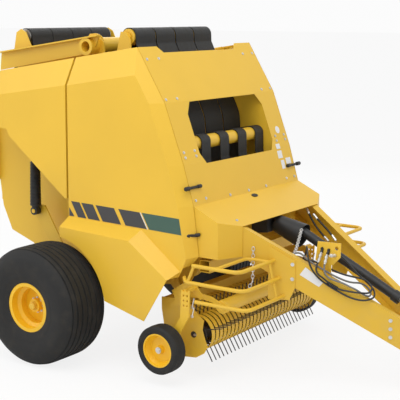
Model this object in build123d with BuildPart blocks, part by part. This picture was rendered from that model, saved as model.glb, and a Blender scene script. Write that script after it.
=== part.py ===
"""Round baler with a variable belt chamber, a tined pickup, a lifting tailgate and a drawn tongue.

Millimetres. X points forward to the hitch, Y to the left, Z up from the ground.
Side profiles are drawn from the axle, so AXLE_X carries them all to their place.
"""

import os
from math import atan2, cos, hypot, radians, sin, tan

from build123d import *

os.makedirs("parts", exist_ok=True)

# Overall reach, measured from the axle
FRONT_REACH = 3430
REAR_REACH = 1330
AXLE_X = (REAR_REACH - FRONT_REACH) / 2

# Sheet and plate thicknesses, and running clearances
SHEET = 5
WALL = 8
PLATE = 12
PIN_GAP = 0.3
SEAT = 0.3

# Main wheels
TYRE_RADIUS = 546
TYRE_WIDTH = 546
TRACK_HALF = 1254
BEAD_RADIUS = 205
FLANGE_RADIUS = 228
RIM_WIDTH = 457
SPINDLE_RADIUS = 38
HUB_RADIUS = 82
AXLE_TUBE = 120
AXLE_HALF = 900

# Gauge wheels at the pickup's ends
GAUGE_X = 1282
GAUGE_Z = 316
GAUGE_Y = 1180
GAUGE_RADIUS = 217
GAUGE_WIDTH = 150
GAUGE_RIM_RADIUS = 150
GAUGE_PIN_RADIUS = 16

# Bale chamber between two side walls
CHAMBER_HALF = 615
SHELL_HALF = 895
DOOR_GAP = 6
PANEL_HALF = SHELL_HALF - DOOR_GAP
SHIELD_HALF = 1000
BULGE_HALF = 1130
SEAM_GAP = 24

# Folds of the front panel from the top edge down: x, z
FRONT_FOLDS = [(832, 2857), (1119, 2394), (1316, 1877), (1419, 1534)]
SEAM_FOOT = (1475, 1103)
ROOF_SLOPE = 0.149
SEAM_X = 134
BEVEL = 90

# Tailgate hinge, which the tension arms share
PIVOT = (120, 2845)
TORQUE_TUBE_RADIUS = 78
TORQUE_BORE_RADIUS = 48
ARM_HALF = 700

# Pickup
PICKUP_PIVOT = (1010, 800)
REEL = (1455, 418)
REEL_TUBE_RADIUS = 60
TINE_BAR_RADIUS = 105
TINE_TIP_RADIUS = 283
TINE_BARS = 5
TINE_FIRST_DEG = -54
TINE_LAG_DEG = 9
TINE_WIRE = 7
BAND_RADIUS = 160
BAND_SHEET = 4
BAND_COUNT = 29
BAND_PITCH = 62
BAND_WIDTH = 44
PICKUP_HALF = 935

# Tongue
TONGUE_REAR = (1500, 748, 1505)
TONGUE_FRONT = (3190, 168, 579)
BEAM_DEPTH = 265
BEAM_FLANGE = 75
BEAM_SHEET = 9
HITCH_Z = 500
HITCH_PIN_RADIUS = 16.5
HITCH_PLATE = 25
HITCH_GAP = 60


def spot(x, y, z):
    """A point given from the axle, as a point of the whole machine."""
    return (AXLE_X + x, y, z)


def side(y=0):
    """A plane across the machine at y: local x forward from the axle, local y up, normal to the right."""
    return Plane(origin=(AXLE_X, y, 0), x_dir=(1, 0, 0), z_dir=(0, -1, 0))


def level(z):
    """A plane parallel to the ground, its local x measured from the axle."""
    return Plane(origin=(AXLE_X, 0, z))


def across(x):
    """A plane facing forward at x from the axle: local x to the left, local y up."""
    return Plane(origin=(AXLE_X + x, 0, 0), x_dir=(0, 1, 0), z_dir=(1, 0, 0))


def outline(points, mode=Mode.ADD):
    """A closed face of straight edges in the sketch in hand."""
    Polygon(*points, align=None, mode=mode)


def parallel(points, distance):
    """The open polyline moved to its right-hand side by distance, with mitred corners."""
    out = []
    for i, (x, z) in enumerate(points):
        normals = []
        for (x1, z1), (x2, z2) in zip(points[max(i - 1, 0) : i + 1], points[max(i, 1) : i + 2]):
            run = hypot(x2 - x1, z2 - z1)
            normals.append(((z2 - z1) / run, -(x2 - x1) / run))
        nx = sum(n[0] for n in normals)
        nz = sum(n[1] for n in normals)
        share = distance * len(normals) / (nx * nx + nz * nz)
        out.append((x + nx * share, z + nz * share))
    return out


def strip(points, thickness):
    """A sheet's edge: the open polyline thickened to its right-hand side."""
    outline(points + parallel(points, thickness)[::-1])


def bar(p1, p2, radius):
    """A round bar between two points given from the axle."""
    a = Vector(*spot(*p1))
    b = Vector(*spot(*p2))
    with BuildSketch(Plane(origin=a, z_dir=(b - a).normalized())) as section:
        Circle(radius)
    extrude(section.sketch, amount=(b - a).length)


def bent_tube(points, radius, bend):
    """A tube swept along straight runs with round bends, through points given from the axle."""
    with BuildLine() as route:
        FilletPolyline(*[spot(*p) for p in points], radius=bend)
    with BuildSketch(route.line ^ 0) as section:
        Circle(radius)
    sweep(section.sketch, path=route.line)


def export(part, name):
    """Label a finished piece and write it to its own file."""
    part.label = name
    export_step(part, f"parts/{name}.step")


def on_line(p1, p2, share):
    """The point a share of the way from p1 to p2."""
    return tuple(a + (b - a) * share for a, b in zip(p1, p2))


# Main wheels: a round-shouldered tyre on a deep dished rim
tyre_profile = [
    (-RIM_WIDTH / 2 + 30, BEAD_RADIUS),
    (-RIM_WIDTH / 2 + 6, FLANGE_RADIUS + 6),
    (-TYRE_WIDTH / 2 + 4, FLANGE_RADIUS + 95),
    (-TYRE_WIDTH / 2, FLANGE_RADIUS + 150),
    (-TYRE_WIDTH / 2 + 12, TYRE_RADIUS - 82),
    (-TYRE_WIDTH / 2 + 34, TYRE_RADIUS - 36),
    (-TYRE_WIDTH / 2 + 70, TYRE_RADIUS - 12),
    (-TYRE_WIDTH / 2 + 120, TYRE_RADIUS - 3),
    (-TYRE_WIDTH / 8, TYRE_RADIUS),
]
tyre_profile += [(-y, r) for y, r in tyre_profile[::-1]]
TYRE_CASING = 28
tyre_cavity = [
    (-RIM_WIDTH / 2 + 30 + TYRE_CASING, BEAD_RADIUS),
    (-TYRE_WIDTH / 2 + TYRE_CASING, FLANGE_RADIUS + 140),
    (-TYRE_WIDTH / 2 + 80, TYRE_RADIUS - 70),
]
tyre_cavity += [(-y, r) for y, r in tyre_cavity[::-1]]


def wheel_plane(x, y, z):
    """A plane through a wheel's axle: local x outward along the axle, local y up."""
    return Plane(origin=spot(x, y, z), x_dir=(0, 1 if y > 0 else -1, 0), z_dir=(1 if y > 0 else -1, 0, 0))


for hand, sign in (("left", 1), ("right", -1)):
    plane = wheel_plane(0, sign * TRACK_HALF, TYRE_RADIUS)
    hub_axis = Axis(plane.origin, (0, 1, 0))
    with BuildPart() as tyre:
        with BuildSketch(plane):
            outline(tyre_profile)
            outline(tyre_cavity, mode=Mode.SUBTRACT)
        revolve(axis=hub_axis)
    export(tyre.part, f"main_tyre_{hand}")

    disc_at = RIM_WIDTH / 2 - 150
    half = RIM_WIDTH / 2
    rim_profile = [
        (half, FLANGE_RADIUS),
        (half - 8, FLANGE_RADIUS),
        (half - 12, BEAD_RADIUS - SEAT),
        (half - 70, BEAD_RADIUS - SEAT),
        (half - 95, BEAD_RADIUS - 30),
        (-half + 95, BEAD_RADIUS - 30),
        (-half + 70, BEAD_RADIUS - SEAT),
        (-half + 12, BEAD_RADIUS - SEAT),
        (-half + 8, FLANGE_RADIUS),
        (-half, FLANGE_RADIUS),
        (-half, BEAD_RADIUS - 10),
        (-half + 70, BEAD_RADIUS - 12),
        (-half + 90, BEAD_RADIUS - 42),
        (disc_at - 12, BEAD_RADIUS - 42),
        (disc_at - 12, HUB_RADIUS),
        (-60, HUB_RADIUS),
        (-60, SPINDLE_RADIUS + PIN_GAP),
        (disc_at + 62, SPINDLE_RADIUS + PIN_GAP),
        (disc_at + 62, HUB_RADIUS - 22),
        (disc_at + 18, HUB_RADIUS - 16),
        (disc_at + 6, BEAD_RADIUS - 80),
        (disc_at, BEAD_RADIUS - 42),
        (half - 90, BEAD_RADIUS - 42),
        (half - 70, BEAD_RADIUS - 12),
        (half, BEAD_RADIUS - 10),
    ]
    with BuildPart() as rim:
        with BuildSketch(plane):
            outline(rim_profile)
        revolve(axis=hub_axis)
    export(rim.part, f"main_rim_{hand}")

    gauge_plane = wheel_plane(GAUGE_X, sign * GAUGE_Y, GAUGE_Z)
    gauge_axis = Axis(gauge_plane.origin, (0, 1, 0))
    wide = GAUGE_WIDTH / 2
    with BuildPart() as gauge_tyre:
        with BuildSketch(gauge_plane):
            outline(
                [
                    (-wide + 12, GAUGE_RIM_RADIUS),
                    (-wide, GAUGE_RIM_RADIUS + 25),
                    (-wide, GAUGE_RADIUS - 22),
                    (-wide + 18, GAUGE_RADIUS - 3),
                    (0, GAUGE_RADIUS),
                    (wide - 18, GAUGE_RADIUS - 3),
                    (wide, GAUGE_RADIUS - 22),
                    (wide, GAUGE_RIM_RADIUS + 25),
                    (wide - 12, GAUGE_RIM_RADIUS),
                ]
            )
        revolve(axis=gauge_axis)
    export(gauge_tyre.part, f"gauge_tyre_{hand}")

    with BuildPart() as gauge_rim:
        with BuildSketch(gauge_plane):
            outline(
                [
                    (wide - 12, GAUGE_RIM_RADIUS - SEAT),
                    (-wide + 12, GAUGE_RIM_RADIUS - SEAT),
                    (-wide + 12, GAUGE_RIM_RADIUS - 8),
                    (-6, GAUGE_RIM_RADIUS - 30),
                    (-6, GAUGE_PIN_RADIUS + 20),
                    (-40, GAUGE_PIN_RADIUS + 20),
                    (-40, GAUGE_PIN_RADIUS + PIN_GAP),
                    (36, GAUGE_PIN_RADIUS + PIN_GAP),
                    (36, GAUGE_PIN_RADIUS + 16),
                    (6, GAUGE_PIN_RADIUS + 24),
                    (2, GAUGE_RIM_RADIUS - 40),
                    (wide - 30, GAUGE_RIM_RADIUS - 16),
                    (wide - 12, GAUGE_RIM_RADIUS - 12),
                ]
            )
        revolve(axis=gauge_axis)
    export(gauge_rim.part, f"gauge_rim_{hand}")

# Tailgate cylinders: pins measured from the axle, and the eye's width across the machine
CYLINDER_Y = 845
EYE_WIDTH = 60
UPPER_PIN = (-440, 2420)
LOWER_PIN = (-470, 1290)
CYLINDER_PIN_RADIUS = 20
ANCHOR_Y = CYLINDER_Y - EYE_WIDTH / 2 - 22
ANCHOR_PLATE = 14

# Axle: square tube, spindles, the plates that carry the chamber and the anchors of the cylinders
HUB_INNER = TRACK_HALF - 60
with BuildPart() as axle:
    with BuildSketch(side(AXLE_HALF)):
        with Locations((0, TYRE_RADIUS)):
            Rectangle(AXLE_TUBE, AXLE_TUBE)
    extrude(amount=2 * AXLE_HALF)
    for sign in (1, -1):
        collar = side(sign * AXLE_HALF) if sign < 0 else side(HUB_INNER - 2)
        with BuildSketch(collar):
            with Locations((0, TYRE_RADIUS)):
                Circle(SPINDLE_RADIUS + 16)
        extrude(amount=HUB_INNER - 2 - AXLE_HALF)
        stub = side(-AXLE_HALF) if sign < 0 else side(TRACK_HALF + 150)
        with BuildSketch(stub):
            with Locations((0, TYRE_RADIUS)):
                Circle(SPINDLE_RADIUS)
        extrude(amount=TRACK_HALF + 150 - AXLE_HALF)
    for y in (CHAMBER_HALF + WALL + PLATE, -CHAMBER_HALF - WALL):
        with BuildSketch(side(y)):
            outline([(-190, 585), (190, 585), (330, 960), (60, 960), (-60, 700)])
        extrude(amount=PLATE)
    axle_top = TYRE_RADIUS + AXLE_TUBE / 2
    for sign in (1, -1):
        with BuildSketch(side(sign * ANCHOR_Y + (0 if sign > 0 else ANCHOR_PLATE))):
            outline([(-55, axle_top), (55, axle_top), (-400, 1340), (-520, 1340), (-530, 1240)])
        extrude(amount=ANCHOR_PLATE)
        with BuildSketch(side(CYLINDER_Y + EYE_WIDTH / 2 + 6 if sign > 0 else -ANCHOR_Y)):
            with Locations(LOWER_PIN):
                Circle(CYLINDER_PIN_RADIUS)
        extrude(amount=CYLINDER_Y + EYE_WIDTH / 2 + 6 - ANCHOR_Y)
export(axle.part, "axle")

# Front panel: one folded sheet with the view window and the notch for the belts
WINDOW = [(536, 2385), (614, 2284), (614, 1952), (552, 1860)]
NOTCH = [(625, 2900), (625, 2858), (562, 2803)]
# Cut off each top corner, past which the shields swing up
PANEL_CORNER = 14
with BuildPart() as front_panel:
    with BuildSketch(side(PANEL_HALF)):
        strip(FRONT_FOLDS, SHEET)
    extrude(amount=2 * PANEL_HALF)
    with BuildSketch(across(700)):
        outline(WINDOW + [(-y, z) for y, z in WINDOW[::-1]])
        outline(NOTCH + [(-y, z) for y, z in NOTCH[::-1]])
        top = FRONT_FOLDS[0][1] + SHEET
        for side_edge, inward in ((PANEL_HALF, -PANEL_CORNER), (-PANEL_HALF, PANEL_CORNER)):
            outline([(side_edge + inward, top), (side_edge - inward, top), (side_edge, top - PANEL_CORNER)])
    extrude(amount=900, mode=Mode.SUBTRACT)
export(front_panel.part, "front_panel")

# Hood over the driveline: sloping top plate and upright cheeks folded from the seam to the beams
HOOD_NOSE = (1770, 663, 1367)
HOOD_SHOULDER = 1665
HOOD_FOOT = 1100
hood_top = [FRONT_FOLDS[-1], (HOOD_NOSE[0], HOOD_NOSE[2])]
cheek_plan = [(FRONT_FOLDS[-1][0], PANEL_HALF), (HOOD_SHOULDER, PANEL_HALF), (HOOD_NOSE[0], HOOD_NOSE[1])]
with BuildPart() as hood:
    with BuildSketch(level(HOOD_FOOT)):
        for flip in (1, -1):
            outer = [(x, flip * y) for x, y in cheek_plan]
            inner = [(x, flip * y) for x, y in parallel(cheek_plan, SHEET)]
            outline(outer + inner[::-1])
    extrude(amount=600)
    with BuildSketch(side(SHELL_HALF)):
        above = [(2000, HOOD_NOSE[2]), (2000, 1800), (1300, 1800), (1300, hood_top[0][1])]
        outline(hood_top + above)
    extrude(amount=2 * SHELL_HALF, mode=Mode.SUBTRACT)
    with BuildSketch(side(PANEL_HALF)):
        strip(hood_top, SHEET)
    extrude(amount=2 * PANEL_HALF)
    with BuildSketch(level(HOOD_FOOT)):
        for flip in (1, -1):
            beyond = [(HOOD_NOSE[0] + 100, PANEL_HALF), (HOOD_NOSE[0] + 100, HOOD_NOSE[1])]
            outline([(x, flip * y) for x, y in cheek_plan[1:2] + beyond + cheek_plan[2:]])
    extrude(amount=600, mode=Mode.SUBTRACT)
export(hood.part, "hood")

# Side shields: folded pans hung from the top edge, with a fender bulge round the wheel
ARCH_RADIUS = 612
BULGE_REAR = 90
LOWER_SHIELD = [(1380, 1008), (1100, 503), (540, 630), (BULGE_REAR, 1150)]
shield_rim = [(SEAM_X, FRONT_FOLDS[0][1] - ROOF_SLOPE * (FRONT_FOLDS[0][0] - SEAM_X))]
shield_rim += FRONT_FOLDS + [SEAM_FOOT] + LOWER_SHIELD
crease_front = [(x - BEVEL, z) for x, z in FRONT_FOLDS[1:]]
crease_top_front = (885, 2626)
shield_crease = [(SEAM_X - 24, crease_top_front[1] - ROOF_SLOPE * (crease_top_front[0] - SEAM_X + 24))]
shield_crease += [crease_top_front] + crease_front + [(1413, 1093)] + LOWER_SHIELD
bulge_foot = [(BULGE_REAR, 1321), (935, 1293), (1350, 975), (1100, 503), (540, 630), (BULGE_REAR, 1150)]
bulge_face = [(BULGE_REAR, 1243), (890, 1209), (1305, 916), (1050, 503), (540, 634), (BULGE_REAR, 1150)]
# All below this line is cut away, which leaves the lower edge open: the last three points lie past the sheet
shield_trim = [(1305, 922), (1052, 512), (535, 645), (535, 300), (1700, 300), (1700, 922)]


def pan(rim, y_rim, face, y_face, mode=Mode.ADD):
    """The right-hand solid between an outline at the rim and one at the outer face."""
    with BuildSketch(side(-y_rim)) as near:
        outline(rim)
    with BuildSketch(side(-y_face)) as far:
        outline(face)
    loft([near.sketch.face(), far.sketch.face()], ruled=True, mode=mode)


def open_below(points, drop=40):
    """The outline with its last three points lowered, so that a hollow cut to it has no floor."""
    upper = points[:-3]
    (x0, z0), (x, z) = upper[-1], points[-3]
    toe = (x - (x0 - x) * drop / (z0 - z), z - drop)
    return upper + [toe] + [(px, pz - drop) for px, pz in points[-2:]]


# The shield's hinge line runs just inside and under its top edge
HINGE_INSET = 14
HINGE_PIN_RADIUS = 6
KNUCKLE_RADIUS = 16
HINGE_Y = SHELL_HALF - HINGE_INSET
HINGE_REAR = (SEAM_X + 20, HINGE_Y, shield_rim[0][1] - HINGE_INSET + 20 * ROOF_SLOPE)
HINGE_FRONT = (FRONT_FOLDS[0][0] - 30, HINGE_Y, FRONT_FOLDS[0][1] - HINGE_INSET - 30 * ROOF_SLOPE)
KNUCKLES = [(0.08, 0.2), (0.44, 0.56), (0.8, 0.92)]

with BuildPart() as shield:
    pan(shield_rim, SHELL_HALF, shield_crease, SHIELD_HALF)
    pan(bulge_foot, SHIELD_HALF, bulge_face, BULGE_HALF)
    pan(shield_rim, SHELL_HALF - SHEET, shield_crease, SHIELD_HALF - SHEET, Mode.SUBTRACT)
    hollow = [open_below(bulge_foot), SHIELD_HALF - SHEET, open_below(bulge_face), BULGE_HALF - SHEET]
    pan(*hollow, Mode.SUBTRACT)
    with BuildSketch(side(-BULGE_HALF - 10)):
        with Locations((0, TYRE_RADIUS)):
            Circle(ARCH_RADIUS)
        outline(shield_trim)
    extrude(amount=-400, mode=Mode.SUBTRACT)
    for start, stop in KNUCKLES:
        a = on_line(HINGE_REAR, HINGE_FRONT, start)
        b = on_line(HINGE_REAR, HINGE_FRONT, stop)
        bar((a[0], -a[1], a[2]), (b[0], -b[1], b[2]), KNUCKLE_RADIUS)
    a = Vector(*spot(HINGE_REAR[0], -HINGE_REAR[1], HINGE_REAR[2]))
    b = Vector(*spot(HINGE_FRONT[0], -HINGE_FRONT[1], HINGE_FRONT[2]))
    with BuildSketch(Plane(origin=a, z_dir=(b - a).normalized())) as pin_hole:
        Circle(HINGE_PIN_RADIUS + PIN_GAP)
    extrude(pin_hole.sketch, amount=(b - a).length, mode=Mode.SUBTRACT)
export(shield.part, "side_shield_right")
with BuildPart() as left_shield:
    add(mirror(shield.part, about=Plane.XZ))
export(left_shield.part, "side_shield_left")

# Rails that carry the shields, with lugs and pins between the knuckles
RAIL = 30
RAIL_DROP = 46
RAIL_HALF = HINGE_Y - 34
LUG_PAST = HINGE_PIN_RADIUS + 1
OUTRIGGERS = [0.24, 0.72, 0.97]
with BuildPart() as shield_rails:
    rail_start = (HINGE_REAR[0], RAIL_HALF, HINGE_REAR[2] - RAIL_DROP)
    rail_stop = (HINGE_FRONT[0], RAIL_HALF, HINGE_FRONT[2] - RAIL_DROP)
    with BuildSketch(side(-RAIL_HALF - RAIL / 2)):
        outline(
            [
                (rail_start[0], rail_start[2] - RAIL / 2),
                (rail_stop[0], rail_stop[2] - RAIL / 2),
                (rail_stop[0], rail_stop[2] + RAIL / 2),
                (rail_start[0], rail_start[2] + RAIL / 2),
            ]
        )
    extrude(amount=-RAIL)
    for share in OUTRIGGERS:
        x, y, z = on_line(rail_start, rail_stop, share)
        with BuildSketch(side(-CHAMBER_HALF - WALL)):
            with Locations((x, z)):
                Rectangle(RAIL, RAIL)
        extrude(amount=RAIL_HALF - CHAMBER_HALF - WALL)
        lower = z - 900
        with BuildSketch(side(-CHAMBER_HALF - WALL)):
            with Locations((x, lower)):
                Rectangle(RAIL, RAIL)
        extrude(amount=SHIELD_HALF - SHEET - DOOR_GAP - CHAMBER_HALF - WALL)
    for start, stop in KNUCKLES:
        for share, shift in ((start, -22), (stop, 22)):
            x, y, z = on_line(HINGE_REAR, HINGE_FRONT, share)
            with BuildSketch(side(-RAIL_HALF + RAIL / 2)):
                with Locations((x + shift, z - RAIL_DROP / 2)):
                    Rectangle(SHEET, RAIL_DROP + 2 * LUG_PAST)
            extrude(amount=HINGE_Y + LUG_PAST - RAIL_HALF + RAIL / 2)
        a = on_line(HINGE_REAR, HINGE_FRONT, start)
        b = on_line(HINGE_REAR, HINGE_FRONT, stop)
        slope = (b[2] - a[2]) / (b[0] - a[0])
        bar((a[0] - 22, -a[1], a[2] - 22 * slope), (b[0] + 22, -b[1], b[2] + 22 * slope), HINGE_PIN_RADIUS)
    mirror(about=Plane.XZ)
export(shield_rails.part, "shield_rails")

# Rollers fixed in the chamber walls, the front top roller and the drums under the throat: x, z, radius
FRONT_TOP_ROLLER = (500, 2933, 72)
WINDOW_ROLLER = (1120, 2013, 62)
FIXED_ROLLERS = [FRONT_TOP_ROLLER, WINDOW_ROLLER]
FIXED_ROLLERS += [(1235, 1290, 95), (1010, 905, 105), (430, 795, 80), (120, 850, 60)]
ROLLER_HALF = CHAMBER_HALF - 12
with BuildPart() as fixed_rollers:
    for x, z, radius in FIXED_ROLLERS:
        with BuildSketch(side(ROLLER_HALF)):
            with Locations((x, z)):
                Circle(radius)
        extrude(amount=2 * ROLLER_HALF)
        with BuildSketch(side(CHAMBER_HALF)):
            with Locations((x, z)):
                Circle(25)
        extrude(amount=2 * CHAMBER_HALF)
export(fixed_rollers.part, "fixed_rollers")

# Belts at the front: four broad bands over the top roller, four narrow ones over the window roller
BELT = 7
BELT_CLEAR = 1
BROAD_BELT = 285
BROAD_PITCH = 300
NARROW_BELT = 140
TOP_X, TOP_Z, TOP_RADIUS = FRONT_TOP_ROLLER
TOP_WRAP = TOP_RADIUS + BELT_CLEAR + BELT / 2
broad_path = [
    (TOP_X - TOP_WRAP - 60, 2480),
    (TOP_X - TOP_WRAP, TOP_Z - 20),
    (TOP_X - TOP_WRAP + 3, TOP_Z + TOP_WRAP),
    (TOP_X + TOP_WRAP, TOP_Z + TOP_WRAP + 2),
    (TOP_X + TOP_WRAP + 6, TOP_Z - 60),
    (915, 2200),
    (985, 1400),
]
BROAD_BENDS = [40, TOP_WRAP - 4, TOP_WRAP - 4, 40, 300]
WINDOW_X, WINDOW_Z, WINDOW_RADIUS = WINDOW_ROLLER
WINDOW_WRAP = WINDOW_RADIUS + BELT_CLEAR + BELT / 2
narrow_path = [
    (WINDOW_X - 300, WINDOW_Z + 10),
    (WINDOW_X - 10, WINDOW_Z + WINDOW_WRAP + 2),
    (WINDOW_X + WINDOW_WRAP + 2, WINDOW_Z + WINDOW_WRAP - 4),
    (WINDOW_X + WINDOW_WRAP + 6, WINDOW_Z - 150),
    (1300, 1440),
]
NARROW_BENDS = [30, WINDOW_WRAP - 4, 90]


def belt_run(path, bends, width, y):
    """One flat belt, square to the machine, along a side profile with rounded turns."""
    with BuildLine() as middle:
        FilletPolyline(*path, radius=bends)
    with BuildSketch() as edge:
        trace(middle.line.edges(), line_width=BELT)
    extrude(side(y + width / 2) * edge.sketch, amount=width)


with BuildPart() as front_belts:
    for i in range(4):
        y = (i - 1.5) * BROAD_PITCH
        belt_run(broad_path, BROAD_BENDS, BROAD_BELT, y)
        belt_run(narrow_path, NARROW_BENDS, NARROW_BELT, y + 75)
export(front_belts.part, "front_belts")

# Chamber walls, with the plates for the top roller and the torque tube and the pins of the pickup
PIVOT_X, PIVOT_Z = PIVOT
WALL_OUT = CHAMBER_HALF + WALL
panel_back = parallel(FRONT_FOLDS, SHEET)
wall_outline = [(40, 760), (40, 2700), (700, 2780)] + panel_back[1:]
wall_outline += [(panel_back[-1][0], 1130), (1180, 760), (760, 700), (300, 700)]
roller_plate = [(TOP_X - 150, 2640), (TOP_X + 60, 2640), (TOP_X + 52, TOP_Z - 30)]
roller_plate += [(TOP_X - 4, TOP_Z + 46), (TOP_X - 60, TOP_Z + 46)]
pivot_plate = [(PIVOT_X - 70, 2600), (PIVOT_X + 150, 2600), (PIVOT_X + 120, PIVOT_Z + 40)]
pivot_plate += [(PIVOT_X + 40, PIVOT_Z + 112), (PIVOT_X - 40, PIVOT_Z + 112), (PIVOT_X - 100, PIVOT_Z + 40)]
LIFT_PIN_RADIUS = 25
PICKUP_ARM_Y = WALL_OUT + 22
with BuildPart() as chamber_walls:
    for y in (WALL_OUT, -CHAMBER_HALF):
        with BuildSketch(side(y)):
            outline(wall_outline)
            with Locations((TOP_X, TOP_Z)):
                Circle(40)
        extrude(amount=WALL)
    for y in (WALL_OUT + PLATE, -WALL_OUT):
        with BuildSketch(side(y)):
            outline(roller_plate)
            outline(pivot_plate)
            with Locations(PIVOT):
                Circle(TORQUE_TUBE_RADIUS + PIN_GAP, mode=Mode.SUBTRACT)
        extrude(amount=PLATE)
    for y in (PICKUP_ARM_Y + 16, -WALL_OUT):
        with BuildSketch(side(y)):
            with Locations(PICKUP_PIVOT):
                Circle(LIFT_PIN_RADIUS)
        extrude(amount=PICKUP_ARM_Y + 16 - WALL_OUT)
export(chamber_walls.part, "chamber_walls")

# Cross tubes in front of the chamber, which the tongue bolts to
CROSS_X = panel_back[-1][0]
CROSS_TUBE = 110
CROSS_HALF = 800
CROSS_TUBES = [1370, 1000]
with BuildPart() as cross_tubes:
    for z in CROSS_TUBES:
        with BuildSketch(side(CROSS_HALF)):
            with Locations((CROSS_X + CROSS_TUBE / 2, z)):
                Rectangle(CROSS_TUBE, CROSS_TUBE)
                Rectangle(CROSS_TUBE - 2 * WALL, CROSS_TUBE - 2 * WALL, mode=Mode.SUBTRACT)
        extrude(amount=2 * CROSS_HALF)
    for y in (CHAMBER_HALF + 60, -CHAMBER_HALF - 60 + CROSS_TUBE):
        with BuildSketch(side(y)):
            outline(
                [
                    (CROSS_X, CROSS_TUBES[1] + CROSS_TUBE / 2),
                    (CROSS_X + CROSS_TUBE, CROSS_TUBES[1] + CROSS_TUBE / 2),
                    (CROSS_X + CROSS_TUBE, CROSS_TUBES[0] - CROSS_TUBE / 2),
                    (CROSS_X, CROSS_TUBES[0] - CROSS_TUBE / 2),
                ]
            )
        extrude(amount=CROSS_TUBE)
export(cross_tubes.part, "cross_tubes")

# Tongue: two channel beams that close in on the hitch
TONGUE_RUN = hypot(TONGUE_FRONT[0] - TONGUE_REAR[0], TONGUE_REAR[1] - TONGUE_FRONT[1])
TONGUE_YAW = atan2(TONGUE_REAR[1] - TONGUE_FRONT[1], TONGUE_FRONT[0] - TONGUE_REAR[0])
TONGUE_FALL = TONGUE_REAR[2] - TONGUE_FRONT[2]
TONGUE_SLOPE = TONGUE_FALL / (TONGUE_FRONT[0] - TONGUE_REAR[0])
BEAM_START = CROSS_X + CROSS_TUBE + SEAT


def beam_y(x):
    """The outer face of a tongue beam at x from the axle, as a distance from the middle."""
    return TONGUE_REAR[1] - (x - TONGUE_REAR[0]) * tan(TONGUE_YAW)


def beam_top(x):
    """The top of a tongue beam at x from the axle."""
    return TONGUE_REAR[2] - (x - TONGUE_REAR[0]) * TONGUE_SLOPE


def flange_top(x, y):
    """The top of a tongue beam's flange over a point, which may lie inside the beam's outer face."""
    return beam_top(x + (beam_y(x) - y) * cos(TONGUE_YAW) * sin(TONGUE_YAW))


def beam_plane(sign, x, out=0):
    """A plane on a beam's outer face at x, moved out: local x forward along the beam, local y up."""
    y = sign * beam_y(x)
    origin = spot(x + out * sin(TONGUE_YAW), y + sign * out * cos(TONGUE_YAW), 0)
    forward = (cos(TONGUE_YAW), -sign * sin(TONGUE_YAW), 0)
    outward = (sin(TONGUE_YAW), sign * cos(TONGUE_YAW), 0)
    return Plane(origin=origin, x_dir=forward, z_dir=outward if sign < 0 else tuple(-v for v in outward))


def beam_section(sign, start, stop, top, bottom, out, depth):
    """A plate along a beam between two x, its edges measured down from the beam's top."""
    run = (stop - start) / cos(TONGUE_YAW)
    with BuildSketch(beam_plane(sign, start, out)) as section:
        outline(
            [
                (0, beam_top(start) - top),
                (run, beam_top(stop) - top),
                (run, beam_top(stop) - bottom),
                (0, beam_top(start) - bottom),
            ]
        )
    extrude(section.sketch, amount=-depth if sign < 0 else depth)


JACK_X = 3060
JACK_Z = 560
JACK_OUT = 118
JACK_TUBE_RADIUS = 34
JACK_STUB_RADIUS = 30
with BuildPart() as tongue_beams:
    for sign in (1, -1):
        beam_section(sign, 1500, TONGUE_FRONT[0], 0, BEAM_DEPTH, 0, BEAM_SHEET)
        beam_section(sign, 1500, TONGUE_FRONT[0], 0, BEAM_SHEET + 1, 0, BEAM_FLANGE)
        beam_section(sign, 1500, TONGUE_FRONT[0], BEAM_DEPTH - BEAM_SHEET - 1, BEAM_DEPTH, 0, BEAM_FLANGE)
    with BuildSketch(side(CROSS_HALF + 100)):
        outline([(1300, 900), (BEAM_START, 900), (BEAM_START, 1800), (1300, 1800)])
        under_hood = parallel(hood_top, SHEET + SEAT)
        outline([under_hood[0], under_hood[1], (under_hood[1][0], 1800), (under_hood[0][0], 1800)])
    extrude(amount=2 * CROSS_HALF + 200, mode=Mode.SUBTRACT)
    with BuildSketch(beam_plane(1, JACK_X)):
        with Locations((0, JACK_Z)):
            Rectangle(130, 130)
    extrude(amount=-PLATE)
    with BuildSketch(beam_plane(1, JACK_X, PLATE)):
        with Locations((0, JACK_Z)):
            Circle(JACK_STUB_RADIUS)
    extrude(amount=-(JACK_OUT - JACK_TUBE_RADIUS - 4 - PLATE))
export(tongue_beams.part, "tongue_beams")

# Hitch: a plated head between the beams with a two-jawed clevis
HEAD_REAR = 3040
CLEVIS_X = 3370
CLEVIS_RADIUS = FRONT_REACH - CLEVIS_X
WEB_ACROSS = (BEAM_SHEET + SEAT) / cos(TONGUE_YAW)
HEAD_NECK = 3285
head_plan = [
    (HEAD_REAR, beam_y(HEAD_REAR) - WEB_ACROSS),
    (TONGUE_FRONT[0], beam_y(TONGUE_FRONT[0]) - WEB_ACROSS),
    (HEAD_NECK, CLEVIS_RADIUS),
    (CLEVIS_X, CLEVIS_RADIUS),
]
with BuildPart() as hitch:
    for z in (HITCH_Z - HITCH_GAP / 2 - HITCH_PLATE, HITCH_Z + HITCH_GAP / 2):
        with BuildSketch(level(z)):
            outline(head_plan + [(x, -y) for x, y in head_plan[::-1]])
            with Locations((CLEVIS_X, 0)):
                Circle(CLEVIS_RADIUS)
                Circle(HITCH_PIN_RADIUS, mode=Mode.SUBTRACT)
        extrude(amount=HITCH_PLATE)
    with BuildSketch(level(HITCH_Z - HITCH_GAP / 2)):
        for flip in (1, -1):
            rib = head_plan[:3]
            inner = [(x, y - PLATE / cos(TONGUE_YAW)) for x, y in rib[:2]] + [(rib[2][0], rib[2][1] - PLATE)]
            outline([(x, flip * y) for x, y in rib + inner[::-1]])
        with Locations((TONGUE_FRONT[0], 0)):
            Rectangle(PLATE, 2 * head_plan[1][1] - 2 * PLATE)
    extrude(amount=HITCH_GAP)
export(hitch.part, "hitch")

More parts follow.
